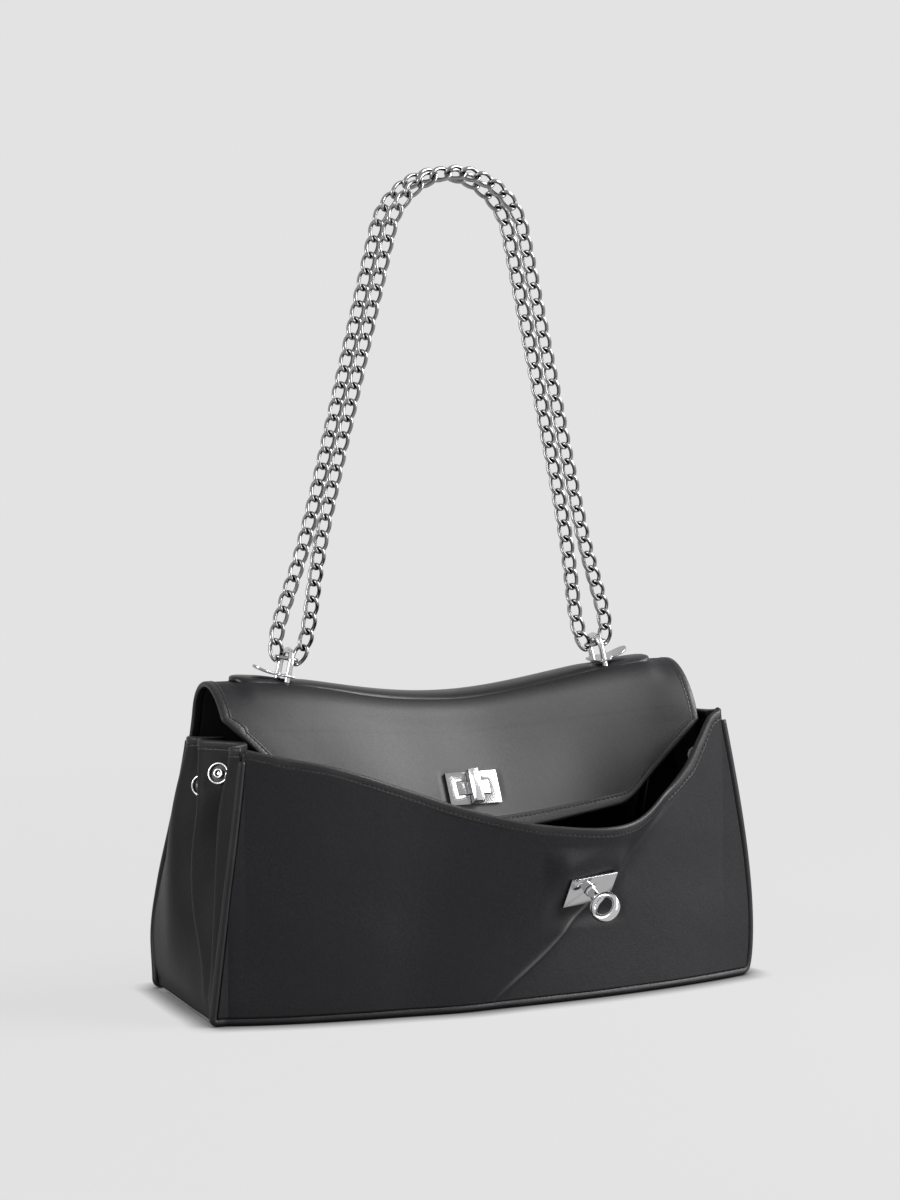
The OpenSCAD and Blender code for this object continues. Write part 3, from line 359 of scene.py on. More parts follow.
def through(points, t):
    """Smooth curve through points, at t from 0 to 1."""
    points = np.asarray(points, float)
    last = len(points) - 1
    i, k = spans(t, last)
    if points.ndim > 1:
        k = k[..., None]
    return smooth(points[np.maximum(i - 1, 0)], points[i], points[i + 1],
                  points[np.minimum(i + 2, last)], k)


def through_each(rows, t):
    """The smooth curve of through(), where each place t has its own row of values."""
    last = rows.shape[-1] - 1
    i, k = spans(t, last)

    def value(j):
        return np.take_along_axis(rows, np.clip(j, 0, last)[..., None], axis=-1)[..., 0]

    return smooth(value(i - 1), value(i), value(i + 1), value(i + 2), k)


def cubic(points, t):
    """Cubic curve from four control points, each an array that mixes with t."""
    a, b, c, d = points
    r = 1 - t
    return r ** 3 * a + 3 * t * r * r * b + 3 * t * t * r * c + t ** 3 * d


def past(d, soft):
    """d where it is above 0 and nothing below, bent softly between."""
    return (d + np.sqrt(d * d + soft * soft)) / 2


def crowded(count, pull=1.0):
    """Steps from 0 to 1 that crowd towards both ends, the more the higher pull is."""
    t = np.linspace(0, 1, count)
    return mix(t, (1 - np.cos(np.pi * t)) / 2, pull)


def ripple(x, y, size, seed):
    """Gentle uneven waves between about -1 and 1: five sines in turned directions."""
    rng = np.random.default_rng(seed)
    total = np.zeros(np.broadcast(x, y).shape)
    for _ in range(5):
        way, phase, stretch = rng.uniform(0, np.pi), rng.uniform(0, 2 * np.pi), rng.uniform(0.7, 1.5)
        total += np.sin((x * np.cos(way) + y * np.sin(way)) * 2 * np.pi * stretch / size + phase)
    return total / 3


def grid_normals(points):
    """Normals of a grid of points, from the steps along its rows and columns."""
    rows, cols = np.gradient(points, axis=0), np.gradient(points, axis=1)
    return unit(np.cross(rows, cols))


class BagForm:
    """The bag's surfaces, worked out from the sizes in the panel. Each surface takes arrays of two
    places on it and returns points."""

    def __init__(self, scene):
        self.body = scene.bag_body
        self.crease = scene.bag_crease
        self.fold = scene.bag_fold
        self.lid = scene.bag_flap
        self.fit = scene.bag_fittings
        self.chain = scene.bag_chain
        self.seam = scene.bag_stitches
        b = self.body
        self.piping_r = b.piping_d / 2
        self.skin_in = b.seam_gap / 2
        self.skin_out = self.skin_in + b.leather_t
        self.lining_in = self.skin_in + b.lining_t
        self.back_top = self.lid.fold_h - b.binding_d / 2 - b.seam_gap
        self.seat = self.skin_out + self.skin_in
        self.inner = self.lining_in + self.skin_in
        self.wave_table = through(WAVE_SHARES, np.linspace(0, 1, 400))
        self.press_from = self.free_reach(self.fit.toggle_x, self.fit.toggle_h,
                                          self.fit.toggle_h / b.low_h)

    # Front panel: u from the left seam to the right, v from the floor to the wave edge

    def wave_h(self, u):
        """Height of the wave edge: a smooth curve from the left corner down to the lowest place
        and up to the right corner."""
        b, across = self.body, 2 * u - 1
        level = np.interp(across, self.wave_table[:, 0], self.wave_table[:, 1])
        return b.low_h + level * (np.where(across < WAVE_LOW_SHARE, b.left_h, b.right_h) - b.low_h)

    def crease_side(self, x, z):
        """Distance above the diagonal fold, which curls up towards the right."""
        c = self.crease
        curl = c.curl * np.maximum(0, (x - c.x) / c.x) ** 2
        return (z - c.z - curl) * math.cos(c.tilt) - (x - c.x) * math.sin(c.tilt)

    def lean(self, x, z):
        """How far the leather above the fold leans out: a soft ramp that ends after its run."""
        c = self.crease
        d = self.crease_side(x, z)
        fade_in = ease((x - c.lean_from) / (c.lean_full - c.lean_from))
        fade_out = 1 - ease((x - c.lean_fade) / (self.body.rim_w / 2 - c.lean_fade))
        out = past(d, c.soft) - past(d - c.run, c.crown_soft)
        return c.slope * out * fade_in * fade_out

    def free_reach(self, x, z, v):
        """Reach of the front panel where no plate presses it: two bows, mixed up the panel."""
        b = self.body
        floor_far = ((x - b.bow_x) / (b.floor_w / 2)) ** 2
        rim_far = (np.abs(x) / (b.rim_w / 2)) ** 3
        at_floor = b.corner_reach + b.floor_bow * limit(1 - floor_far) ** BOW_POWER
        at_rim = b.rim_reach + b.rim_bow * limit(1 - rim_far)
        return mix(at_floor, at_rim, v) + self.lean(x, z)

    def front_reach(self, x, z, v):
        """Reach of the front panel, pressed flat under the toggle's plate."""
        f = self.fit
        dx, dz = x - f.toggle_x, z - f.toggle_h
        past_x = (np.abs(dx) - f.plate_w / 2) / PRESS_SOFT
        past_z = (np.abs(dz) - f.plate_h / 2) / PRESS_SOFT
        press = (1 - ease(past_x)) * (1 - ease(past_z))
        flat = self.press_from + PRESS_SLOPES[0] * dx + PRESS_SLOPES[1] * dz
        return mix(self.free_reach(x, z, v), flat, press)

    def front(self, u, v):
        """Front panel: straight across, bowed out, with a swell low on the right side."""
        b, across = self.body, 2 * u - 1
        z = mix(self.piping_r, self.wave_h(u), v)
        swell = b.side_swell * np.maximum(0, across) ** 4 * np.sin(np.pi * limit(v) ** SWELL_POWER)
        x = across * mix(b.floor_w, b.rim_w, v) / 2 + swell
        return stack(x, -self.front_reach(x, z, v), z)

    def front_below(self, u, drop):
        """Share of the panel's height that lies a drop below the wave, square to the edge."""
        low, high = self.front(limit(u - 0.01), 1.0), self.front(limit(u + 0.01), 1.0)
        d = high - low
        rise = np.hypot(d[..., 0], d[..., 2]) / d[..., 0]
        return 1 - drop * rise / (self.wave_h(u) - self.piping_r)

    # Back panel: u from left to right, v from the floor to the fold

    def back(self, u, v):
        """Back panel: a smooth curve up its height, bowed a little in the middle."""
        b = self.body
        x = (2 * u - 1) * mix(b.back_w, b.fold_w, v) / 2
        bow = b.back_bow * np.sin(np.pi * u) * np.sin(np.pi * v)
        return stack(x, b.back_reach * through(BACK_REACH_SHARES, v) + bow,
                     mix(self.piping_r, self.back_top, v))

    # Gussets: side is -1 or 1, t from the back seam to the front seam, w upwards

    def gusset(self, side, t, w):
        """Gusset: straight between the seams, pushed in and out along its fold lines."""
        b = self.body
        t, w = np.broadcast_arrays(np.asarray(t, float), np.asarray(w, float))
        edge = 0.0 if side < 0 else 1.0
        f, k = self.front(edge, w), self.back(edge, w)
        place = through_each(through(FOLD_PLACE_SHARES, w), t)
        out = through_each(through(FOLD_OUT_SHARES[side], w), t) * b.pleat_d
        seam_in = self.piping_r + b.seam_gap
        inset = seam_in + 2 * b.seam_gap
        x = mix(np.abs(k[..., 0]), np.abs(f[..., 0]), place) - (1 - ease(w / 0.1)) * seam_in
        rise = GUSSET_CROWN * np.sin(np.pi * place) * ease(w)
        rear_z = mix(self.piping_r, b.gusset_h, w)
        z = mix(rear_z, f[..., 2] - b.binding_d * w, place ** RIM_POWER) + rise
        return stack(side * (x + out), mix(k[..., 1] - inset, f[..., 1] + inset, place), z)

    # Flap: x across, s from the fold line at 0 over the ridge to the lower edge at 2

    def flap_arc(self, k, s):
        """Section of the flap as y and z: an arch over the top and a sheet down the front, whose
        control points mix from the ends of the flap to its sagging middle by k."""
        f = self.lid
        slant, rise = f.fold_h - f.tip_h, f.ridge_rise
        mid = rise - f.ridge_sag
        y, h, r = f.fold_y, f.fold_h, f.tip_reach
        arch_end = [(y, h), (y, h + rise * 1.233), (-y * 0.46, h + rise * 1.41),
                    (-r * 0.624, h + rise * 0.088)]
        arch_mid = [(y, h), (y, h + mid * 1.085), (-y * 0.1, h + mid * 1.81),
                    (-r * 0.341, h - mid * 0.72)]
        sheet_end = [arch_end[3], (-r * 0.756, h - slant * 0.2), (-r * 0.902, h - slant * 0.65),
                     (-r, f.tip_h)]
        sheet_mid = [arch_mid[3], (-r * 0.537, h - slant * 0.48), (-r * 0.756, h - slant * 0.84),
                     (-r * 0.976, f.tip_h - f.ridge_sag * 0.9)]
        k, s = np.broadcast_arrays(np.asarray(k, float), np.asarray(s, float))

        def curve(ends, mids, t):
            return [cubic([mix(a[i], b[i], k) for a, b in zip(ends, mids)], t) for i in (0, 1)]

        over, down = curve(arch_end, arch_mid, s), curve(sheet_end, sheet_mid, s - 1)
        return np.where(s < 1, over[0], down[0]), np.where(s < 1, over[1], down[1])

    def flap(self, x, s):
        """Flap: its section sags towards the middle by a squared cosine."""
        f = self.lid
        k = np.cos(np.pi / 2 * limit(np.abs(x) / f.sag_half)) ** 2
        y, z = self.flap_arc(k, s)
        return stack(x, y, z)

    def flap_half(self, s, way):
        """Half width of the flap to the left or right, by the sign of way: full over the ridge,
        then drawn in along a diagonal, which starts lower down on the right."""
        f = self.lid
        z = self.flap_arc(0.0, s)[1]
        corner = f.fold_h + f.ridge_rise * np.where(np.asarray(way) < 0, *CORNER_STARTS)
        drawn = mix(f.flap_w, f.tip_w, limit((corner - z) / (corner - f.tip_h))) / 2
        return np.where(s < 0.6, f.flap_w / 2, drawn)

    def flap_within(self, s, inset, way):
        """Half width that lies an inset, square to the edge, inside the flap's edge."""
        low, high = np.maximum(0, s - 0.01), np.minimum(2, s + 0.01)
        run = np.linalg.norm(self.flap(0.0, high) - self.flap(0.0, low), axis=-1)
        drawn = self.flap_half(high, way) - self.flap_half(low, way)
        return self.flap_half(s, way) - inset * np.hypot(drawn, run) / run

    # Frames: origin, right, up and outward, each an array of points

    def framed(self, surface, u, v, step, way, upright=False):
        """Frame on a surface. Its right follows the first place, or its up follows the second."""
        a = surface(u + step, v) - surface(u - step, v)
        b = surface(u, v + 0.01) - surface(u, v - 0.01)
        n = unit(way * np.cross(a, b))
        if upright:
            return surface(u, v), np.cross(unit(b), n), unit(b), n
        return surface(u, v), unit(a), np.cross(n, unit(a)), n

    def on_front(self, u, v):
        """Frame on the front panel."""
        return self.framed(self.front, u, v, 0.01, 1)

    def on_flap(self, x, s):
        """Frame on the flap."""
        return self.framed(self.flap, x, s, 0.01 * self.lid.flap_w, -1)

    def on_gusset(self, side, t, w):
        """Frame on a gusset."""
        return self.framed(lambda t, w: self.gusset(side, t, w), t, w, 0.01, -side, upright=True)

    def toggle_frame(self):
        """Frame of the eye toggle's plate on the pressed leather."""
        f, b = self.fit, self.body
        u = (1 + 2 * f.toggle_x / mix(b.floor_w, b.rim_w, f.toggle_h / b.low_h)) / 2
        v = (f.toggle_h - self.piping_r) / (self.wave_h(u) - self.piping_r)
        return turned_frame(self.on_front(u, v), f.toggle_tilt)

    def staple_frame(self, side):
        """Frame of a staple, leaning towards the middle of the bag."""
        c, s = math.cos(self.fit.staple_lean), side * math.sin(self.fit.staple_lean)
        return (self.flap(side * self.fit.staple_span / 2, RIDGE_SHARE), np.array([c, 0, s]),
                np.array([0, 1.0, 0]), np.array([-s, 0, c]))


def turned_frame(placed, angle):
    """A frame turned about its outward axis."""
    o, r, up, n = placed
    return o, math.cos(angle) * r + math.sin(angle) * up, math.cos(angle) * up - math.sin(angle) * r, n


def in_frame(placed, points):
    """Points given as right, up and outward in a frame, moved to their place."""
    o, r, up, n = (np.asarray(p, float) for p in placed)
    return o + points[..., :1] * r + points[..., 1:2] * up + points[..., 2:3] * n


# Meshes

def grid_faces(rows, cols, wrap=False, ring=False):
    """Four corners of each cell of a grid of points; wrap joins its last column to its first, and
    ring its last row."""
    i, j = np.meshgrid(np.arange(rows if ring else rows - 1), np.arange(cols if wrap else cols - 1),
                       indexing="ij")
    n, k = (i + 1) % rows, (j + 1) % cols
    return np.stack([i * cols + j, i * cols + k, n * cols + k, n * cols + j], -1).reshape(-1, 4)


def shell(top, bottom):
    """Points and faces of a closed shell between two grids of points of one size."""
    rows, cols = top.shape[:2]
    faces = grid_faces(rows, cols)
    count = rows * cols
    index = np.arange(count).reshape(rows, cols)
    rim = np.concatenate([index[0, :-1], index[:-1, -1], index[-1, :0:-1], index[:0:-1, 0]])
    ahead = np.roll(rim, -1)
    walls = np.stack([ahead, rim, rim + count, ahead + count], axis=-1)
    points = np.concatenate([top.reshape(-1, 3), bottom.reshape(-1, 3)])
    return points, np.concatenate([faces, faces[:, ::-1] + count, walls])


def angles(count):
    """Even steps round a circle."""
    return np.linspace(0, 2 * np.pi, count, endpoint=False)


def round_rings(path, right, up, radius, sides):
    """Circles round the points of a path."""
    a = angles(sides)[:, None]
    return path[:, None] + radius * (np.cos(a) * right[:, None] + np.sin(a) * up[:, None])


def capped(rings):
    """Points and faces of a closed tube through rings of points, its ends closed by a fan."""
    rows, cols = rings.shape[:2]
    faces = grid_faces(rows, cols, wrap=True)
    points = np.concatenate([rings.reshape(-1, 3), rings[0].mean(0)[None], rings[-1].mean(0)[None]])
    j = np.arange(cols)
    k = (j + 1) % cols
    first, last = rows * cols, rows * cols + 1
    fans = np.concatenate([np.stack([k, j, np.full(cols, first)], -1),
                           np.stack([j, k, np.full(cols, last)], -1)
                           + np.array([1, 1, 0]) * (rows - 1) * cols])
    return points, faces, fans


def joined(parts):
    """Points and faces of several shells in one."""
    points, faces, start = [], [], 0
    for part in parts:
        points.append(part[0])
        faces += [f + start for f in part[1:]]
        start += len(part[0])
    return (np.concatenate(points), *faces)


def copies(template, origin, along, out):
    """Points and faces of one small shell set at many places, its x along and its z out."""
    points, *faces = template
    side = np.cross(out, along)
    placed = (origin[:, None] + points[None, :, :1] * along[:, None]
              + points[None, :, 1:2] * side[:, None] + points[None, :, 2:] * out[:, None])
    shift = (np.arange(len(origin)) * len(points))[:, None, None]
    return (placed.reshape(-1, 3), *[(f[None] + shift).reshape(-1, f.shape[1]) for f in faces])


def turned(profile, sides, placed=None):
    """Points and faces of a closed profile of radius and height turned round the third axis, which
    may be the outward one of a frame."""
    a = angles(sides)[:, None]
    r, z = profile[None, :, 0], profile[None, :, 1]
    points = stack(r * np.cos(a), r * np.sin(a), z).reshape(-1, 3)
    return (points if placed is None else in_frame(placed, points),
            grid_faces(sides, len(profile), wrap=True, ring=True))


def rounded(corners, radius):
    """A closed outline whose corners are rounded by curves that start a radius before each."""
    corners = np.asarray(corners, float)
    before, after = np.roll(corners, 1, axis=0) - corners, np.roll(corners, -1, axis=0) - corners
    reach = lambda d: np.minimum(radius, np.linalg.norm(d, axis=-1, keepdims=True) / 2)
    a = (corners + unit(before) * reach(before))[:, None]
    b = (corners + unit(after) * reach(after))[:, None]
    c = corners[:, None]
    t = np.linspace(0, 1, 5)[None, :, None]
    return (a * (1 - t) ** 2 + 2 * t * (1 - t) * c + b * t * t).reshape(-1, 2)


def band(near, far, low, high, radius):
    """A rounded rectangle between two distances from the axis and two heights."""
    return rounded([(near, low), (far, low), (far, high), (near, high)], radius)


def oblong(sides, power):
    """An outline between a circle and a square: sine and cosine, each raised to a power."""
    c, s = np.cos(angles(sides)), np.sin(angles(sides))
    return np.sign(c) * np.abs(c) ** power, np.sign(s) * np.abs(s) ** power


def capsule(length_, radius):
    """A stitch: a round rod along x that tapers to both ends."""
    x = np.array([-0.5, -0.46, -0.3, 0, 0.3, 0.46, 0.5]) * length_
    r = np.array([0.25, 0.7, 0.95, 1, 0.95, 0.7, 0.25])[:, None] * radius
    return capped(stack(x[:, None], r * np.cos(angles(8)), r * np.sin(angles(8))))


def new_object(name, data):
    """An object of this data, in the scene."""
    made = bpy.data.objects.new(name, data)
    bpy.context.scene.collection.objects.link(made)
    return made


def make_piece(name, shape, finish, nodes, body="bag", sharp=None, wear_and_painted_light=None):
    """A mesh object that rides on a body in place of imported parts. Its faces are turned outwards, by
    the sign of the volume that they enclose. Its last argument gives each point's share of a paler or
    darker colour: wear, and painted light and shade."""
    points, *groups = shape
    mesh = bpy.data.meshes.new(name)
    mesh.from_pydata(points.tolist(), [], [f for group in groups for f in group.tolist()])
    if wear_and_painted_light is not None:
        mesh.attributes.new("wear_and_painted_light", "FLOAT", "POINT").data.foreach_set("value", wear_and_painted_light.ravel())
    shaped = bmesh.new()
    shaped.from_mesh(mesh)
    bmesh.ops.remove_doubles(shaped, verts=shaped.verts, dist=1e-6)
    if shaped.calc_volume(signed=True) < 0:
        bmesh.ops.reverse_faces(shaped, faces=shaped.faces)
    add_piece(name, mesh, shaped, finish, nodes, body, sharp)


def add_piece(name, mesh, shaped, finish, nodes, body, sharp):
    """Ends the shaping of a mesh and adds its object on a body, or, for a piece over the flap's fold,
    on none with its placing baked in.
    """
    shaped.to_mesh(mesh)
    shaped.free()
    mesh.shade_smooth()
    if sharp:
        mesh.set_sharp_from_angle(angle=math.radians(sharp))
    mesh.materials.append(MATERIALS[finish])
    piece = new_object(name, mesh)
    if body != FOLD:
        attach(piece, body)
    if nodes:
        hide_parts(*nodes)
    if body == FOLD:
        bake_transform(piece)


def softened(name, nodes, edge, finish, body="bag", steps=3):
    """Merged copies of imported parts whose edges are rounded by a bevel."""
    mesh = bpy.data.meshes.new(name)
    shaped = bmesh.new()
    for node in nodes:
        shaped.from_mesh(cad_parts[node].data)
    bmesh.ops.remove_doubles(shaped, verts=shaped.verts, dist=2e-6)
    bmesh.ops.dissolve_limit(shaped, angle_limit=math.radians(1), verts=shaped.verts,
                             edges=shaped.edges)
    sharp = [e for e in shaped.edges if len(e.link_faces) == 2 and e.calc_face_angle() > 0.6]
    bmesh.ops.bevel(shaped, geom=sharp, offset=edge, offset_type="OFFSET", segments=steps,
                    profile=0.5, affect="EDGES", clamp_overlap=True)
    add_piece(name, mesh, shaped, finish, nodes, body, 40)


def run_along(path):
    """Length along a path from its start to each of its points."""
    return np.concatenate([[0], np.cumsum(np.linalg.norm(np.diff(path, axis=0), axis=-1))])


def stitched(name, line, out, seam, body):
    """Stitches along a line of points: short threads at an even pitch, each turned a little."""
    run = run_along(line)
    count = int(run[-1] / seam.pitch)
    mids = (np.arange(count) + 0.5) * run[-1] / count
    at = lambda values, where: np.stack([np.interp(where, run, values[:, i]) for i in range(3)], -1)
    ahead = unit(at(line, mids + 0.0005) - at(line, mids - 0.0005))
    n = at(out, mids)
    n = unit(n - (n * ahead).sum(-1, keepdims=True) * ahead)
    ahead = unit(ahead + math.tan(seam.slant) * np.cross(n, ahead))
    make_piece(name, copies(capsule(seam.stitch_l, seam.thread_d / 2), at(line, mids), ahead, n),
               "thread", (), body)


# Materials

class Signal:
    """A number that varies over a surface. Each operator adds a Math node."""

    def __init__(self, maker, socket):
        self.maker = maker
        self.socket = socket

    def __add__(self, other):
        return self.maker.maths("ADD", self, other)

    def __sub__(self, other):
        return self.maker.maths("SUBTRACT", self, other)

    def __rsub__(self, other):
        return self.maker.maths("SUBTRACT", other, self)

    def __mul__(self, other):
        return self.maker.maths("MULTIPLY", self, other)

    __radd__ = __add__
    __rmul__ = __mul__


class Maker:
    """Builds the nodes of one material or world."""

    def __init__(self, owner):
        owner.use_nodes = True
        self.owner = owner
        self.tree = owner.node_tree
        self.tree.nodes.clear()

    def node(self, kind, settings=None, **sockets):
        """A node: its settings first, then values or links for its sockets, by their names with
        underscores for spaces, or in order as s0, s1 and so on."""
        made = self.tree.nodes.new(kind)
        for key, value in (settings or {}).items():
            setattr(made, key, value)
        for key, value in sockets.items():
            place = int(key[1:]) if key[1:].isdigit() else key.replace("_", " ")
            self.set(made.inputs[place], value)
        return made

    def set(self, socket, value):
        """A socket's value, or a link to it."""
        if isinstance(value, Signal):
            value = value.socket
        if isinstance(value, bpy.types.NodeSocket):
            self.tree.links.new(value, socket)
        elif hasattr(value, "__len__") and len(value) == 3 and socket.type == "RGBA":
            socket.default_value = (*value, 1)
        else:
            socket.default_value = value

    def maths(self, operation, a, b):
        """A Math node as a Signal."""
        made = self.node("ShaderNodeMath", {"operation": operation}, s0=a, s1=b)
        return Signal(self, made.outputs[0])

    def wear_and_painted_light(self):
        """The share of wear and of painted light or shade that a piece gives to its points, or 0."""
        made = self.node("ShaderNodeAttribute", {"attribute_name": "wear_and_painted_light"})
        return Signal(self, made.outputs["Fac"])

    def place(self):
        """Object coordinates."""
        return self.node("ShaderNodeTexCoord").outputs["Object"]

    def noise(self, where, size, detail=2.0, rough=0.5, warp=0.0):
        """Noise whose patches have a size in metres."""
        made = self.node("ShaderNodeTexNoise", Vector=where, Scale=1 / size, Detail=detail,
                         Roughness=rough, Distortion=warp)
        return Signal(self, made.outputs["Fac"])

    def cells(self, where, size, feature="F1"):
        """Distance to the nearest point of scattered points that lie about a size apart."""
        made = self.node("ShaderNodeTexVoronoi", {"feature": feature}, Vector=where, Scale=1 / size)
        return Signal(self, made.outputs["Distance"])

    def stretch(self, where, low, high, to_low=0.0, to_high=1.0):
        """A signal taken from one span to another, and kept inside it."""
        made = self.node("ShaderNodeMapRange", Value=where, From_Min=low, From_Max=high,
                         To_Min=to_low, To_Max=to_high)
        return Signal(self, made.outputs["Result"])

    def tint(self, share_, a, b):
        """A mix of two colours."""
        made = self.node("ShaderNodeMix", {"data_type": "RGBA"}, Factor=share_)
        self.set(made.inputs[6], a)
        self.set(made.inputs[7], b)
        return made.outputs[2]

    def shades(self, share_, base, low, high):
        """A mix of a darker and a paler shade of a colour."""
        return self.tint(share_, tuple(c * low for c in base), tuple(c * high for c in base))

    def bump(self, height, depth, under=None):
        """A bump whose full height is a depth in metres."""
        made = self.node("ShaderNodeBump", Strength=1.0, Distance=depth, Height=height)
        if under:
            self.set(made.inputs["Normal"], under)
        return made.outputs["Normal"]

    def ends_in(self, made, kind="ShaderNodeOutputMaterial"):
        """Links a shader to the output, and gives the material."""
        self.tree.links.new(made.outputs[0], self.node(kind).inputs[0])
        return self.owner

    def shader(self, **sockets):
        """The material's main shader, linked to its output."""
        return self.ends_in(self.node("ShaderNodeBsdfPrincipled", **sockets))


def new_material(name):
    """A maker for a new material."""
    return Maker(bpy.data.materials.new(name))


def smooth_leather(finish, name="smooth black leather", base=None, rough=None, grain=1.0):
    """Smooth leather: a fine pebble grain, slow changes of tone and sheen, and random paler patches of
    wear. Where its point attribute is set it is paler and has a second, wider sheen: painted light, as
    a painted highlight along the front fold and a painted sheen on the flap."""
    m = new_material(name)
    where = m.place()
    base = base or finish.leather
    rough = rough or finish.leather_rough
    slow, fine = m.noise(where, 0.07, 3), m.noise(where, finish.grain * 1.4, 4, 0.6)
    pebbles = m.cells(where, finish.grain * grain, "SMOOTH_F1")
    pores = m.noise(where, finish.grain * 0.35, 2)
    rubbed_and_painted_light = m.stretch(slow * 0.6 + fine * 0.4, 0.52, 0.8)
    tone = m.shades(m.stretch(fine, 0.3, 0.75), base, 0.82, 1.18)
    dull = m.stretch(slow, 0.3, 0.7, rough - 0.035, rough + 0.05)
    normal = m.bump(pebbles * 0.75 + pores * 0.35, 0.000055 * grain)
    normal = m.bump(m.noise(where, 0.012, 3), 0.0002, under=normal)
    return m.shader(Base_Color=m.tint(rubbed_and_painted_light * 0.25 + m.wear_and_painted_light(), tone, tuple(finish.wear_and_painted_light)),
                    Roughness=dull + (1 - pebbles) * 0.05, Normal=normal, Specular_IOR_Level=0.14,
                    Coat_Weight=m.wear_and_painted_light() * (0.75 + fine * 0.5), Coat_Roughness=0.5)


def painted_edge(finish, name, base, rough, size):
    """Leather folded tight over an edge, or painted: stretched grain that is flatter and glossier."""
    m = new_material(name)
    where = m.place()
    fine, wide = m.noise(where, size, 4, 0.6), m.noise(where, 0.02, 2)
    tone = m.shades(m.stretch(fine, 0.3, 0.75), base, 0.8, 1.3)
    return m.shader(Base_Color=m.tint(m.stretch(wide, 0.5, 0.9) * 0.3, tone, tuple(finish.wear_and_painted_light)),
                    Roughness=m.stretch(wide, 0.25, 0.75, rough - 0.05, rough + 0.06),
                    Normal=m.bump(fine + m.cells(where, size * 1.3), 0.00005),
                    Specular_IOR_Level=0.3)


def lining_suede(finish):
    """Lining: a soft nap of short fibres, darker where they lie flat."""
    m = new_material("brushed lining")
    where = m.place()
    stretched = m.node("ShaderNodeMapping", Vector=where, Scale=(1, 1, 0.25)).outputs[0]
    nap, patches = m.noise(stretched, 0.0007, 4, 0.7), m.noise(where, 0.018, 3)
    tone = m.shades(m.stretch(nap * 0.6 + patches * 0.4, 0.3, 0.7), finish.lining, 0.6, 1.35)
    return m.shader(Base_Color=tone, Roughness=m.stretch(patches, 0.3, 0.7, 0.72, 0.88),
                    Normal=m.bump(nap, 0.00012), Specular_IOR_Level=0.25)


def twisted_thread(finish):
    """Thread: two plies whose twist shows as slanted ridges along each stitch."""
    m = new_material("waxed thread")
    where = m.place()
    ridges = m.node("ShaderNodeTexWave", {"wave_type": "BANDS", "bands_direction": "DIAGONAL"},
                    Vector=where, Scale=1100.0, Distortion=2.0, Detail=1.0).outputs["Fac"]
    fuzz = m.noise(where, 0.0004, 3)
    ply = Signal(m, ridges)
    tone = m.shades(ply * 0.6 + fuzz * 0.4, finish.thread, 0.5, 1.8)
    return m.shader(Base_Color=tone, Roughness=m.stretch(fuzz, 0.3, 0.7, 0.5, 0.65),
                    Normal=m.bump(ply + fuzz * 0.5, 0.00006), Specular_IOR_Level=0.4)


def pressed_board(name, base):
    """Board of pressed fibres: pale flecks in brown, with a rough face."""
    m = new_material(name)
    where = m.place()
    flecks, fibres = m.noise(where, 0.0015, 5, 0.7), m.noise(where, 0.006, 4, 0.6, 1.5)
    tone = m.shades(m.stretch(flecks, 0.4, 0.7), base, 0.7, 1)
    return m.shader(Base_Color=tone, Roughness=m.stretch(fibres, 0.3, 0.7, 0.75, 0.95),
                    Normal=m.bump(flecks + fibres, 0.0001), Specular_IOR_Level=0.3)


def silver_metal(finish, name, rough, scratch, wear, brushed=None, shade=1.0):
    """Silver plated metal: hairline scratches, a soft haze, and dark tarnished spots in uneven
    patches. A point attribute darkens it further towards the dark colour, as painted shade. Brushed
    gives how far the hairlines are stretched along each axis, and shade darkens its whole colour:
    painted shade as well."""
    m = new_material(name)
    where = m.place()
    lines = m.node("ShaderNodeMapping", Vector=where, Scale=brushed or (1, 1, 1)).outputs[0]
    hair, haze = m.noise(lines, 0.0009, 4, 0.65), m.noise(where, 0.006, 3)
    spots = m.noise(where, 0.0022, 4, 0.6)
    bright = tuple(c * shade for c in finish.metal)
    tone = m.tint(m.stretch(spots, 0.56, 0.78) * wear + m.wear_and_painted_light(), bright, tuple(finish.tarnish_and_painted_shade))
    return m.shader(Base_Color=tone, Metallic=1.0,
                    Roughness=m.stretch(haze * 0.6 + hair * 0.4, 0.3, 0.7, rough * 0.8, rough * 1.3),
                    Normal=m.bump(hair, scratch))


MATERIALS = {}


def make_materials(finish):
    """All the finishes of the bag, made once."""
    edge = tuple(finish.edge)
    MATERIALS.update(
        leather=smooth_leather(finish),
        gusset=smooth_leather(finish, "soft gusset leather", tuple(c * 0.85 for c in finish.leather),
                              finish.leather_rough + 0.03, 1.15),
        edge=painted_edge(finish, "folded leather edge", edge, 0.42, 0.0011),
        # The piping is the edge leather darkened to 0.4 of its colour, so that it shows no lit band:
        # painted shade
        piping=painted_edge(finish, "piping leather", tuple(c * 0.4 for c in edge), 0.5, 0.0012),
        strip=painted_edge(finish, "raised strip leather", edge, 0.36, 0.0010),
        lining=lining_suede(finish),
        thread=twisted_thread(finish),
        board=pressed_board("base board", (0.16, 0.125, 0.09)),
        filler=pressed_board("strip filler board", (0.1, 0.085, 0.07)),
        # Each shade below darkens the same silver colour for one finish: painted shade that stands in
        # for less light on those parts
        polished=silver_metal(finish, "polished silver metal", 0.13, 0.00001, 0.2),
        mirror=silver_metal(finish, "mirror silver plate", 0.09, 0.000006, 0.08, shade=0.8),
        satin=silver_metal(finish, "satin silver metal", 0.15, 0.00002, 0.12, (1, 6, 6), 0.6),
        chain=silver_metal(finish, "chain silver metal", 0.2, 0.00002, 0.6, shade=0.56),
        # A near black copy of the silver for the sockets' floors: painted shade
        well=silver_metal(finish, "socket floor painted shade", 0.3, 0.00002, 0.6, shade=0.05),
        inner=silver_metal(finish, "plain inner metal", 0.34, 0.00003, 0.3, shade=0.8))


# Shapes that several pieces share

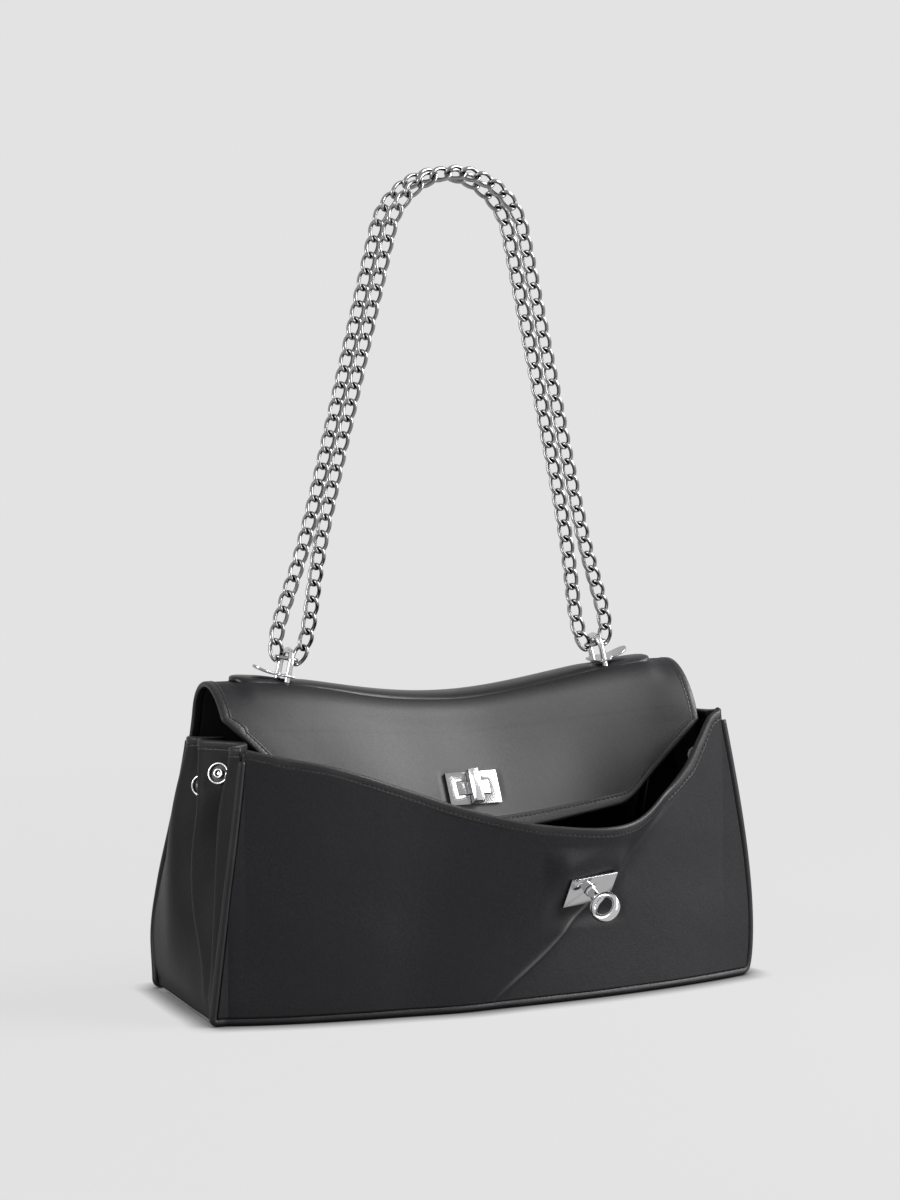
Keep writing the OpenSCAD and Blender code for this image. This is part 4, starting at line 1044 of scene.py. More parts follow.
def pressed(points, placed, width, height, level):
    """Points pressed down under a plate: where they lie over its footprint in a frame, their
    height is kept below a level, and this fades out softly around it."""
    o, r, up, n = placed
    d = points - o
    x, y, h = (d * r).sum(-1), (d * up).sum(-1), (d * n).sum(-1)
    near = ((1 - ease((np.abs(x) - width / 2) / PLATE_SOFT))
            * (1 - ease((np.abs(y) - height / 2) / PLATE_SOFT)) * (np.abs(h) < 0.01))
    return points + ((np.minimum(h, level) - h) * near)[..., None] * n


def tube(path, side, radius, sides):
    """A round tube along a path, its section turned by one reference direction."""
    ahead = unit(np.gradient(path, axis=0))
    right = unit(np.cross(ahead, side))
    return capped(round_rings(path, right, np.cross(right, ahead), radius, sides))


def edge_section():
    """Section of a bound edge, in millimetres, as drop below the top and distance outwards: a flat
    band with a groove for the stitches, a round edge and a flat inner side."""
    a = np.radians(np.linspace(8, 180, 11))
    top = np.stack([1.3 - 1.3 * np.sin(a), 0.25 + 1.43 * np.cos(a)], -1)
    band = np.array([(5.3, 1.4), (5.2, 1.54), (4.6, 1.62), (4.3, 1.57), (4.05, 1.42), (3.8, 1.57),
                     (3.4, 1.68), (2.2, 1.73), (1.6, 1.7)])
    inner = np.array([(3.0, -1.2), (4.2, -1.2), (4.6, -1.1), (4.65, -0.8)])
    return np.concatenate([band, top, inner]) / 1000


def bound_edge(form, name, node, at, body="bag"):
    """A bound edge and its stitches: at gives the points and normals along the edge for a drop."""
    rings = []
    for drop, out in edge_section():
        points, n = at(drop)
        rings.append(points + out * n)
    make_piece(f"{name}_edge", capped(np.stack(rings, axis=1)), "edge", [node], body)
    line, n = at(form.seam.inset)
    stitched(f"{name}_stitches", line + STITCH_LIFT * n, n, form.seam, body)


def lining(form, name, nodes, points, n, body="bag"):
    """A lining: a sheet just inside a surface with these normals."""
    make_piece(name, shell(points - form.skin_in * n, points - form.lining_in * n), "lining", nodes,
               body)


def seam_path(surface):
    """Piping's path down the left seam, along the floor and up the right seam of a panel, with its
    lower corners rounded by a curve between the seams."""
    low, inset = CORNER_SHARES
    v = np.linspace(PIPING_TOP_SHARE, low, 70)
    t = np.linspace(0, 1, 9)[1:-1]
    corner_u, corner_v = inset * t * t, low * (1 - t) ** 2
    u = np.linspace(inset, 1 - inset, 130)
    return surface(np.concatenate([0 * v, corner_u, u, 1 - corner_u[::-1], 0 * v + 1]),
                   np.concatenate([v, corner_v, 0 * u, corner_v[::-1], v[::-1]]))


def over_fold(form, across, low, high, v, s):
    """Rows of points up the back panel, over the fold and down the flap, at shares across from -1
    to 1. Low and high are the insets from the sides of the panel and of the flap. The two surfaces
    are joined at the fold by a cubic curve that leaves each along its own slope."""
    inset = low / form.body.fold_w
    behind = form.back(mix(inset, 1 - inset, (across + 1) / 2), v[:, None])
    over = form.flap(across * form.flap_within(s[:, None], high, across), s[:, None])
    a, b = behind[-1], over[0]
    gap = np.linalg.norm(b - a, axis=-1, keepdims=True)
    leave, arrive = unit(behind[-1] - behind[-2]) * gap, unit(over[1] - over[0]) * gap
    t = np.linspace(0, 1, 12)[1:-1, None, None]
    bridge = ((2 * t ** 3 - 3 * t ** 2 + 1) * a + (t ** 3 - 2 * t ** 2 + t) * leave
              + (3 * t ** 2 - 2 * t ** 3) * b + (t ** 3 - t ** 2) * arrive)
    return np.concatenate([behind, bridge, over])


def flap_skin(form, low, high, columns, rows):
    """One sheet from the back panel's foot over the fold and down to the flap's lower edge, and
    each row's place along the flap, below 0 behind the fold."""
    slant = form.lid.fold_h - form.lid.tip_h
    v = np.linspace(low / (form.back_top - form.piping_r), BRIDGE_FROM, rows)
    s = np.linspace(BRIDGE_TO, 2 - high / slant, int(rows * 1.6))
    places = np.concatenate([v - 1, np.linspace(0, BRIDGE_TO, 12)[1:-1], s])
    return over_fold(form, np.linspace(-1, 1, columns), low, high, v, s), places


def from_place(points, places, place):
    """Distance of each point of a sheet from its place along the flap, down each column."""
    steps = np.linalg.norm(np.diff(points, axis=0), axis=-1)
    run = np.concatenate([0 * steps[:1], np.cumsum(steps, axis=0)])
    i = np.searchsorted(places, place)
    return run - mix(run[i - 1], run[i], (place - places[i - 1]) / (places[i] - places[i - 1]))


def flap_edge_path(form, inset):
    """Points and normals a given inset inside the flap's edge: from the back panel over the fold
    and down the left side, along the lower edge, and the same way up the right side."""
    last = 2 - inset / (form.lid.fold_h - form.lid.tip_h)
    v = np.linspace(BINDING_FROM, BRIDGE_FROM, 5)
    s = np.concatenate([np.linspace(BRIDGE_TO, 1, 60), np.linspace(1, EDGE_CORNER_SHARE, 44)[1:]])
    t = np.linspace(0, 1, 12)[1:-1]
    curve = lambda a, b, c: a * (1 - t) ** 2 + 2 * t * (1 - t) * b + t * t * c
    bend_s = curve(s[-1], last, last)
    sides, normals, bends, ends = [], [], [], []
    for way in (-1, 1):
        rows = over_fold(form, np.array([way, way * 0.98]), inset, inset, v, s)
        corner_x = form.flap_within(last, inset, way)
        ends.append(way * (corner_x - CORNER_RUN))
        bends.append(way * curve(form.flap_within(s[-1], inset, way), corner_x,
                                 corner_x - CORNER_RUN))
        sides.append(rows[:, 0])
        normals.append(grid_normals(rows)[:, 0] * -way)
    low_x = np.linspace(ends[0], ends[1], 90)
    x = np.concatenate([bends[0], low_x, bends[1][::-1]])
    o, _, _, n = form.on_flap(x, np.concatenate([bend_s, 0 * low_x + last, bend_s[::-1]]))
    return (np.concatenate([sides[0], o, sides[1][::-1]]),
            np.concatenate([normals[0], n, normals[1][::-1]]))


def form_of(context):
    """The bag's surfaces, from the sizes in the panel. The finishes are made on first use."""
    if not MATERIALS:
        make_materials(context.scene.bag_finish)
    return BagForm(context.scene)


# Operators: each makes one piece or a group of like pieces

class BAG_OT_front_panel(bpy.types.Operator):
    """Make the front panel with its diagonal fold, and its lining"""
    bl_idname = "bag.front_panel"
    bl_label = "Front Panel"

    def sheet(self, form, columns, rows, inset, drop):
        """Front panel points, the places u crowded to the seams, v from the seam to the edge."""
        side = inset / form.body.rim_w
        u = mix(side, 1 - side, crowded(columns, 0.5))[:, None]
        low = inset / (form.wave_h(u) - form.piping_r)
        return form.front(u, mix(low, form.front_below(u, drop), np.linspace(0, 1, rows)))

    def fold(self, form, points):
        """How far the fold's line stands up from the leather, and how much paler it is painted: a
        pinched ridge that fades out towards the floor, and above it a dip that goes on to the wave
        edge. The paler line along the ridge is a painted highlight."""
        f, x = form.fold, points[..., 0]
        line = f.z + f.slope * (x - f.x) - f.sag * np.exp(-((x - f.x) / f.sag_half) ** 2)
        d = (points[..., 2] - line) / math.hypot(1, f.slope)
        low = ease((x + 0.012) / 0.022) * (1 - ease((x - f.ridge_end) / 0.02))
        high = ease((x - f.ridge_end + 0.012) / 0.02) * (1 - ease((x - 0.1) / 0.02))
        ridge = np.exp(-(d / f.ridge_half) ** 2)
        dip = np.exp(-(np.maximum(d, 0) / 0.013) ** 2) / (1 + np.exp(-2 * d / f.dip_soft))
        return f.ridge * low * ridge - f.dip * high * dip, 0.9 * low * np.exp(-(d / 0.0009) ** 2)

    def execute(self, context):
        form = form_of(context)
        seam = form.piping_r + form.body.seam_gap
        points = self.sheet(form, 320, 118, seam - TUCK, LEATHER_DROP)
        n = grid_normals(points)
        waves = ripple(points[..., 0], points[..., 2], 0.062, 4) * 0.00022
        rise, painted_light_mask = self.fold(form, points)
        top = pressed(points + (form.skin_out + waves + rise)[..., None] * n, form.toggle_frame(),
                      form.fit.plate_w, form.fit.plate_h, form.skin_out)
        # The front leather's point attribute is a painted highlight along the fold's ridge
        make_piece("front_leather", shell(top, points + form.skin_in * n), "leather",
                   ["front_panel"], wear_and_painted_light=np.concatenate([painted_light_mask, 0 * painted_light_mask]))
        points = self.sheet(form, 120, 50, seam + form.body.leather_t, FRONT_LINING_DROP)
        lining(form, "front_inner", ["front_lining"], points, grid_normals(points))
        return {"FINISHED"}


class BAG_OT_front_edge(bpy.types.Operator):
    """Make the bound wave edge of the front panel and its stitches"""
    bl_idname = "bag.front_edge"
    bl_label = "Wave Edge"

    def execute(self, context):
        form = form_of(context)
        u = mix(0.004, 0.996, crowded(300, 0.35))
        bound_edge(form, "wave", "front_binding",
                   lambda drop: form.on_front(u, form.front_below(u, drop))[::3])
        return {"FINISHED"}


class BAG_OT_gussets(bpy.types.Operator):
    """Make the two pleated gussets with their linings and bound top edges"""
    bl_idname = "bag.gussets"
    bl_label = "Gussets"

    def execute(self, context):
        form = form_of(context)
        for side, word in SIDES:
            self.leather(form, side, word)
            self.edge(form, side, word)
        return {"FINISHED"}

    def sheet(self, form, side, ends, columns, rows):
        """Points of the gusset's surface from seam to seam, and up its height."""
        return form.gusset(side, np.linspace(ends, 1 - ends, columns)[:, None],
                           np.linspace(0, 1, rows)[None])

    def leather(self, form, side, word):
        """Outer leather, its ends tucked under the piping, and lining."""
        points = self.sheet(form, side, 0, 190, 84)
        first, last = points[:1], points[-1:]
        points = np.concatenate([first + 2 * TUCK * unit(first - points[1:2]), points,
                                 last + 2 * TUCK * unit(last - points[-2:-1])])
        n = -side * grid_normals(points)
        waves = ripple(points[..., 1], points[..., 2], 0.045, 7) * 0.0002
        top = points + (form.skin_out + waves)[..., None] * n
        for place in SOCKET_SHARES + STUD_SHARES:
            top = pressed(top, form.on_gusset(side, *place), form.fit.snap_d, form.fit.snap_d,
                          form.skin_out)
        make_piece(f"{word}_gusset_leather", shell(top, points + form.skin_in * n), "gusset",
                   [f"{word}_gusset"])
        points = self.sheet(form, side, 1 / 24, 100, 44)
        lining(form, f"{word}_gusset_inner", [f"{word}_gusset_lining"], points,
               -side * grid_normals(points))

    def edge(self, form, side, word):
        """Bound top edge: its section stands above the gusset's last row and reaches down it."""
        t = np.linspace(0.012, 0.988, 150)
        over = form.body.seam_gap + form.body.binding_d

        def at(drop):
            o, _, _, n = form.on_gusset(side, t, 1 - max(0, drop - over) / form.body.gusset_h)
            return o + [0, 0, max(0, over - drop)], unit(n * [1, 1, 0.2])

        bound_edge(form, f"{word}_gusset", f"{word}_gusset_binding", at)


class BAG_OT_piping(bpy.types.Operator):
    """Make the piping round the front and back panels"""
    bl_idname = "bag.piping"
    bl_label = "Piping"

    def execute(self, context):
        form = form_of(context)
        for name, surface in (("front_piping", form.front), ("back_piping", form.back)):
            make_piece(name.replace("piping", "cord_edge"),
                       tube(seam_path(surface), (0, 1, 0), form.piping_r, 16), "piping", [name])
        return {"FINISHED"}


class BAG_OT_base(bpy.types.Operator):
    """Make the base panel and its lining"""
    bl_idname = "bag.base"
    bl_label = "Base"

    def outline(self, form, inset):
        """Outline along the seams at the floor, drawn in by an inset, as points across and back."""
        across, along = np.linspace(0.04, 0.96, 60), np.linspace(0.97, 0.03, 30)
        return np.concatenate([form.front(across, 0.0) + [0, inset, 0],
                               form.gusset(1, along, 0.0) - [inset, 0, 0],
                               form.back(across[::-1], 0.0) - [0, inset, 0],
                               form.gusset(-1, along[::-1], 0.0) + [inset, 0, 0]])[:, :2]

    def execute(self, context):
        form = form_of(context)
        b = form.body
        seam = form.piping_r + b.seam_gap
        floor = b.leather_t + BOARD_T + form.skin_in * 2
        for name, node, inset, low, high, finish in (
                ("base_leather", "base_panel", seam, 0.0, b.leather_t, "leather"),
                ("base_inner", "base_lining", b.piping_d + b.leather_t, floor, floor + b.lining_t,
                 "lining")):
            rings = [stack(*self.outline(form, inset + drawn).T, z) for drawn, z in (
                (0.0012, low), (0.0003, low + 0.0002), (0, mix(low, high, 0.5)),
                (0.0002, high - 0.0001), (0.001, high))]
            make_piece(name, capped(np.stack(rings)), finish, [node])
        return {"FINISHED"}


class BAG_OT_back_and_flap(bpy.types.Operator):
    """Make the leather that runs from the back panel over the top into the flap, and its lining"""
    bl_idname = "bag.back_and_flap"
    bl_label = "Back and Flap"

    def execute(self, context):
        form = form_of(context)
        seam = form.piping_r + form.body.seam_gap
        points, places = flap_skin(form, seam - TUCK, LEATHER_DROP, 190, 92)
        n = grid_normals(points)
        waves = ripple(points[..., 0], points[..., 2] + points[..., 1], 0.07, 11) * 0.00025
        rise = waves + self.shoulder(form, points, places) - self.sink(form, points, places)
        # The flap's point attribute is painted light, with painted shade at its left end, beside the
        # strip and in its lower right
        painted_light_mask = self.rubbed_and_painted_light(points, places)
        top = pressed(points + (form.skin_out + rise)[..., None] * n, form.on_flap(0.0, LOCK_SHARE),
                      form.fit.plate_w, form.fit.plate_h, form.skin_out)
        make_piece("back_and_flap_leather", shell(top, points + form.skin_in * n), "leather",
                   ["back_panel", "flap_outer"], FOLD, wear_and_painted_light=np.concatenate([painted_light_mask, 0 * painted_light_mask]))
        points = flap_skin(form, seam + form.body.leather_t, FLAP_LINING_DROP, 90, 50)[0]
        lining(form, "back_and_flap_inner", ["back_lining", "flap_lining"], points,
               grid_normals(points), FOLD)
        return {"FINISHED"}

    def rubbed_and_painted_light(self, points, places):
        """How much painted light the flap's front gets, as a paler colour and a wider sheen: most on
        the middle of its front, and least at the left end, beside the strip and in the lower right,
        which stay dark as painted shade and a painted shadow."""
        x, z = points[..., 0], points[..., 2]
        along = mix(0.14, 0.66, ease((x + 0.13) / 0.17))
        left_out = 1 - 0.85 * ease((x - 0.055 - 0.75 * (z - 0.13)) / 0.05)
        return along * left_out * ease((places[:, None] - 0.68) / 0.16)

    def shoulder(self, form, points, places):
        """How far the leather is raised beside the strip, where the filler fills it out."""
        d = np.abs(from_place(points, places, RIDGE_SHARE))
        within = 1 - ease((np.abs(points[..., 0]) - form.lid.strip_l / 2 + 0.008) / 0.012)
        past_run = ease((d - SHOULDER_RUN) / 0.016)
        return SHOULDER_RISE * ease(d / SHOULDER_RUN) * (1 - past_run) * within

    def sink(self, form, points, places):
        """How far the flap's front sinks away above and below its lock, which makes it convex. It
        fades out towards the ridge and the edges."""
        d = from_place(points, places, LOCK_SHARE)
        from_side = form.flap_half(places[:, None], points[..., 0]) - np.abs(points[..., 0])
        fade = ease((places - 0.8) / 0.25)[:, None] * ease(from_side / 0.03)
        return SINK * (1 - np.exp(-1900 * d ** 2)) * fade * ease((2 - places) / 0.15)[:, None]


class BAG_OT_flap_edge(bpy.types.Operator):
    """Make the bound edge of the flap and its stitches"""
    bl_idname = "bag.flap_edge"
    bl_label = "Flap Edge"

    def execute(self, context):
        form = form_of(context)
        bound_edge(form, "flap", "flap_binding", lambda inset: flap_edge_path(form, inset), FOLD)
        return {"FINISHED"}


class BAG_OT_strip(bpy.types.Operator):
    """Make the raised strip along the ridge"""
    bl_idname = "bag.strip"
    bl_label = "Raised Strip"

    def execute(self, context):
        form = form_of(context)
        f = form.lid
        low = form.skin_out + 0.0001
        high = form.skin_out + f.filler_t + f.strip_t + 3 * form.body.seam_gap
        x = np.sin(np.linspace(-np.pi / 2, np.pi / 2, 190)) * f.strip_l / 2
        far = limit((np.abs(x) - (f.strip_l - f.strip_w) / 2) / (f.strip_w / 2))
        half = f.strip_w / 2 * np.sqrt(1 - far ** 2)
        c, k = oblong(44, 0.42)
        k = np.maximum(k, 0) * ((1 - far ** 4) ** 0.25)[:, None]
        o, _, up, n = form.on_flap(x, RIDGE_SHARE)
        speed = np.linalg.norm(form.flap(x, RIDGE_SHARE + 0.01) - form.flap(x, RIDGE_SHARE - 0.01),
                               axis=-1) / 0.02
        drawn = c[None] * half[:, None]
        beneath = form.on_flap(x[:, None], RIDGE_SHARE + drawn / speed[:, None])
        dip = 0.0007 * np.exp(-((np.abs(x) - form.fit.staple_span / 2) / 0.008) ** 2)
        height = (high - dip)[:, None] - drawn ** 2 / (2 * 1.6 * f.strip_w)
        above = o[:, None] - drawn[..., None] * up[:, None] + height[..., None] * n[:, None]
        rings = mix(beneath[0] + low * beneath[3], above, k[..., None])
        make_piece("raised_strip", capped(rings), "strip", ["strip_cover"], "flap")
        return {"FINISHED"}


class BAG_OT_snaps(bpy.types.Operator):
    """Make the snap fasteners on the gussets"""
    bl_idname = "bag.snaps"
    bl_label = "Snaps"

    def execute(self, context):
        form = form_of(context)
        f = form.fit
        seat, deep, d, eye = form.seat, f.snap_t, f.snap_d, f.snap_eye
        base = deep * 0.4
        rim, inner_rim = d * 0.085, eye * 0.19
        post = band(0, eye * 0.2, -form.inner - base, seat + base, 0.0001)
        cup = band(d / 2 - rim, d / 2, seat, seat + deep, 0.0004)
        eye_ring = band(eye / 2 - inner_rim, eye / 2, seat + base * 0.4, seat + deep * 1.1, 0.0004)
        well = band(0, d / 2 - rim * 0.6, seat, seat + base * 0.5, 0.0001)
        stud = rounded([(0, seat), (d * 0.45, seat), (d * 0.45, seat + base * 0.8),
                        (eye * 0.45, seat + base), (eye * 0.34, seat + deep * 0.55),
                        (eye * 0.4, seat + deep * 0.8), (eye * 0.3, seat + deep), (0, seat + deep)],
                       0.0003)
        cap = rounded([(eye * 0.22, -form.inner - base), (d * 0.4, -form.inner - base * 0.7),
                       (d * 0.4, -form.inner), (eye * 0.22, -form.inner)], 0.0004)
        for side, word in SIDES:
            for kind, places, shapes in (("sockets", SOCKET_SHARES, (post, cup, eye_ring)),
                                         ("studs", STUD_SHARES, (post, stud))):
                self.rings(form, f"{word}_ring_{kind}", [f"{word}_snap_{kind}"], "polished",
                           (side,), places, shapes, 48)
        # The wells are near black discs on the sockets' floors: painted shade inside the sockets
        self.rings(form, "ring_wells", (), "well", (-1, 1), SOCKET_SHARES, (well,), 40)
        self.rings(form, "inner_snap_caps", ["snap_caps"], "inner", (-1, 1),
                   SOCKET_SHARES + STUD_SHARES, (cap,), 40)
        return {"FINISHED"}

    def rings(self, form, name, nodes, finish, sides, places, shapes, steps):
        """One piece of all the shapes, turned round each of the places on the gussets."""
        parts = [turned(profile, steps, form.on_gusset(side, *place))
                 for side in sides for place in places for profile in shapes]
        make_piece(name, joined(parts), finish, nodes, sharp=45)


class BAG_OT_toggle(bpy.types.Operator):
    """Make the toggle's plate, fixings and turning eye"""
    bl_idname = "bag.toggle"
    bl_label = "Eye Toggle"

    def execute(self, context):
        form = form_of(context)
        f = form.fit
        softened("toggle_face", ["toggle_plate"], 0.00022, "mirror")
        softened("toggle_inner_plate", ["toggle_back_plate", "toggle_washer"], 0.0002, "inner",
                 steps=2)
        softened("toggle_inner_ring", ["toggle_ring"], 0.0002, "inner", "eye_toggle", 2)
        placed = form.toggle_frame()
        top = form.seat + f.toggle_t
        mid = top + f.eye_reach
        wall = (f.eye_d - f.eye_hole) / 2
        c, k = oblong(28, 0.72)
        ring, faces = turned(np.stack([f.eye_hole / 2 + wall / 2 * (1 + c), f.eye_t / 2 * k], -1), 96)
        ring = stack(ring[:, 2], ring[:, 1], mid - ring[:, 0])
        post_r = f.post_d / 2
        foot = -form.inner - POST_DEPTH
        neck = mid - f.eye_hole / 2 - wall * 0.45
        post = rounded([(0, foot), (post_r * 0.6, foot), (post_r * 0.6, foot + 0.0018),
                        (post_r, foot + 0.0019), (post_r, neck - 0.0012), (post_r * 0.82, neck),
                        (0, neck)], 0.0003)
        lift = top + form.body.seam_gap / 2
        collar = rounded([(0, lift), (post_r * 1.25, lift), (post_r * 1.25, lift + 0.0009),
                          (post_r * 1.05, lift + 0.0014), (0, lift + 0.0014)], 0.00025)
        parts = [(in_frame(turned_frame(placed, f.eye_angle), ring), faces),
                 turned(post, 64, placed), turned(collar, 64, placed)]
        make_piece("turning_eye", joined(parts), "polished", ["eye_toggle"], "eye_toggle", 50)
        return {"FINISHED"}


class BAG_OT_lock(bpy.types.Operator):
    """Make the turn lock"""
    bl_idname = "bag.lock"
    bl_label = "Turn Lock"

    def execute(self, context):
        form_of(context)
        for name, nodes, edge, finish, body in (
                ("lock_face", ["lock_face_plate"], 0.0003, "satin", "flap"),
                ("lock_block", ["lock_base"], 0.00025, "satin", "flap"),
                ("lock_inner", ["lock_back_plate", "lock_washer"], 0.0002, "inner", "flap"),
                ("lock_turner", ["lock_knob"], 0.00045, "polished", "lock_knob"),
                ("lock_inner_ring", ["lock_ring"], 0.0002, "inner", "lock_knob")):
            softened(name, nodes, edge, finish, body)
        return {"FINISHED"}


class BAG_OT_staples(bpy.types.Operator):
    """Make the staples that hold the chain, their tabs, plates and nuts"""
    bl_idname = "bag.staples"
    bl_label = "Staples"

    def execute(self, context):
        form = form_of(context)
        r = form.fit.staple_bar / 2
        leg = form.fit.staple_gap / 2 + r
        tab_low, arch = staple_heights(form)
        a = np.linspace(0, np.pi, 40)
        foot = np.linspace(-LEG_DEPTH, arch, 12)[:-1]
        y = np.concatenate([0 * foot + leg, leg * np.cos(a), 0 * foot - leg])
        z = np.concatenate([foot, arch + leg * np.sin(a), foot[::-1]])
        for side, word in SIDES:
            placed = form.staple_frame(side)
            make_piece(f"{word}_bar", tube(in_frame(placed, stack(0 * y, y, z)), placed[1], r, 20),
                       "polished", [f"{word}_staple"], "flap", 45)
            self.tab(side, word, placed, tab_low)
        softened("inner_staple_plates", ["staple_back_plates"], 0.0002, "inner", "flap", 2)
        softened("inner_nuts", ["staple_nuts"], 0.0003, "inner", "flap", 2)
        return {"FINISHED"}

    def tab(self, side, word, placed, low):
        """A tab: wide under the staple's legs, then a round-ended tongue that bends up. Its
        section is an oblong whose width and thickness shrink to nothing at both ends."""
        hub, wide, half, round_at = 0.0034, 0.0092, 0.0055, 0.0115
        a = mix(-hub, 0.017, crowded(70))
        width = mix(wide, half, ease((a - hub * 0.9) / 0.0024))
        width = width * np.sqrt(np.maximum(0, 1 - np.maximum(0, (a - round_at) / half) ** 2))
        width = width * (1 - np.maximum(0, -a / hub) ** 8) ** 0.125
        edge = limit(width / (TAB_T * 0.8)) ** 0.5
        c, k = oblong(36, 0.3)
        lift = 16 * np.maximum(0, a - 0.006) ** 2
        z = low + lift[:, None] + TAB_T / 2 * (1 + k * edge[:, None])
        points = stack(side * a[:, None], c * width[:, None], z)
        make_piece(f"{word}_tongue", capped(in_frame(placed, points)), "satin", [f"{word}_tab"],
                   "flap", 60)


def staple_heights(form):
    """Heights above the flap of a tab's underside and of the middle of a staple's arch, which
    follow from the layers under them."""
    b, f, lid = form.body, form.fit, form.lid
    strip_low = form.skin_out + b.seam_gap
    tab_low = strip_low + lid.filler_t + lid.strip_t + 2 * form.skin_in + TAB_LIFT
    return tab_low, tab_low + TAB_T + f.staple_h - f.staple_bar - f.staple_gap / 2


class ChainForm:
    """The two strands' paths: straight up from the left staple, round a bend and down to the right
    one. Near the staples they swing apart, to hook over the two ends of the staples' links."""

    def __init__(self, form):
        c, f = form.chain, form.fit
        self.sizes = c
        self.wire_r = c.wire_d / 2
        self.link_across = (c.link_w - c.wire_d) / 2
        lift = staple_heights(form)[1] + math.sqrt(
            (f.staple_gap / 2 - self.wire_r - form.body.seam_gap) ** 2 - self.link_across ** 2)
        self.frames = [form.staple_frame(side) for side in (-1, 1)]
        self.ends = [o + lift * n for o, _, _, n in self.frames]
        left, right = self.ends
        self.y = (left[1] + right[1]) / 2
        self.left, self.right = left[[0, 2]], right[[0, 2]]
        self.bend = np.array([c.bend_x, c.top - c.bend])
        a, b = self.bend - self.left, self.bend - self.right
        self.left_dir = math.atan2(a[1], a[0]) + math.asin(c.bend / np.linalg.norm(a))
        self.right_dir = math.atan2(b[1], b[0]) - math.asin(c.bend / np.linalg.norm(b))
        self.left_run = math.sqrt(a @ a - c.bend ** 2)
        self.bend_run = c.bend * (self.left_dir - self.right_dir + math.pi)
        self.run = self.left_run + self.bend_run + math.sqrt(b @ b - c.bend ** 2)

    def arch(self, m):
        """Common arch of both strands, by the length along it."""
        heading = lambda a: np.stack([np.cos(a), np.sin(a)], -1)
        m = m[:, None]
        up = self.left + m * heading(np.float64(self.left_dir))
        turn = self.left_dir + math.pi / 2 - (m[:, 0] - self.left_run) / self.sizes.bend
        over = self.bend + self.sizes.bend * heading(turn)
        down = self.right + (self.run - m) * heading(np.float64(self.right_dir))
        return np.where(m < self.left_run, up, np.where(m < self.left_run + self.bend_run, over, down))

    def strand(self, side, m):
        """One strand: the arch, moved aside by its hook and its swell near the staples, and moved
        to the front or back away from them."""
        c = self.sizes
        far = np.minimum(m, self.run - m)
        merged = ease(far / MERGE_RUN)
        hook = (c.pitch + c.slack) / 2 + self.wire_r
        out = hook * (1 - merged) + SWELL * far / SWELL_RUN * np.exp(1 - far / SWELL_RUN)
        angle = np.where(m < self.run / 2, self.left_dir, self.right_dir) - math.pi / 2
        p = self.arch(m) - side * out[:, None] * np.stack([np.cos(angle), np.sin(angle)], -1)
        return stack(p[:, 0], self.y + side * c.strand_gap / 2 * merged, p[:, 1])

    def links(self, side):
        """Middle, direction and turn of each link of a strand, at an even pitch along it."""
        m = np.linspace(0, self.run, 1200)
        run = run_along(self.strand(side, m))
        wire = self.sizes.wire_d
        count = 2 * round(((run[-1] - wire) / self.sizes.pitch - 1) / 2) + 1
        pitch = (run[-1] - wire) / count
        mids = pitch / 2 - self.wire_r + np.arange(count) * (run[-1] - pitch + wire) / (count - 1)
        place = np.interp(mids, run, m)
        at = self.strand(side, place)
        ahead = unit(self.strand(side, place + self.wire_r) - self.strand(side, place - self.wire_r))
        turn = mix(*CHAIN_TURNS, ease((place - self.left_run) / self.bend_run))
        return at, ahead, turn, pitch


def inner_side(rounds, sides):
    """For the points of a link, how far each lies on the inner side of its wire, where the link is
    painted darker as shade.
    """
    return np.tile(((1 - np.cos(angles(sides))) / 2) ** 1.5, rounds)


def link_shell(half_l, half_w, twist, radius, rounds, sides, square=1.0):
    """A link: a wire round an oval, whose height follows the sine of twice the angle, so that the
    link is twisted and its neighbours lie flat in it."""
    a = angles(rounds)
    c, s = np.cos(a), np.sin(a)
    path = stack(half_l * np.sign(c) * np.abs(c) ** square, half_w * s, -twist * np.sin(2 * a))
    ahead = unit(np.roll(path, -1, axis=0) - np.roll(path, 1, axis=0))
    out = unit(stack(c / half_l, s / half_w, 0 * a))
    out = unit(out - (out * ahead).sum(-1, keepdims=True) * ahead)
    rings = round_rings(path, out, np.cross(ahead, out), radius, sides)
    return rings.reshape(-1, 3), grid_faces(rounds, sides, wrap=True, ring=True)


class BAG_OT_chain(bpy.types.Operator):
    """Make the two strands of curb links and the links that lie in the staples"""
    bl_idname = "bag.chain"
    bl_label = "Chain"

    def execute(self, context):
        form = form_of(context)
        route = ChainForm(form)
        c = form.chain
        rng = np.random.default_rng(5)
        for side, word in ((-1, "front"), (1, "rear")):
            at, ahead, turn, pitch = route.links(side)
            flat = unit(np.cross(np.array([0, 1.0, 0]), ahead))
            out = np.cross(ahead, flat)
            turn = (turn + rng.uniform(-0.1, 0.1, len(at)))[:, None]
            n = np.cos(turn) * out - np.sin(turn) * flat
            link = link_shell(pitch / 2 + route.wire_r, route.link_across, c.twist,
                              route.wire_r * 0.98, *LINK_GRID)
            # The links' inner sides are painted darker towards the dark metal colour: painted shade
            # between the links
            make_piece(f"{word}_curb_chain", copies(link, at, ahead, n), "chain",
                       [f"chain_{word}_strand"], "chain",
                       wear_and_painted_light=np.tile(inner_side(*LINK_GRID), len(at)))
        # These links' inner sides are painted darker too: painted shade
        for end, placed, word in zip(route.ends, route.frames, ("left", "right")):
            points, faces = link_shell((c.pitch + c.slack) / 2 + route.wire_r, route.link_across, 0,
                                       route.wire_r, *END_LINK_GRID, 0.8)
            held = (end, placed[1], np.array([0, 1.0, 0]), placed[3])
            make_piece(f"{word}_staple_link", (in_frame(held, points), faces), "chain",
                       [f"{word}_end_link"], "chain", wear_and_painted_light=inner_side(*END_LINK_GRID))
        return {"FINISHED"}


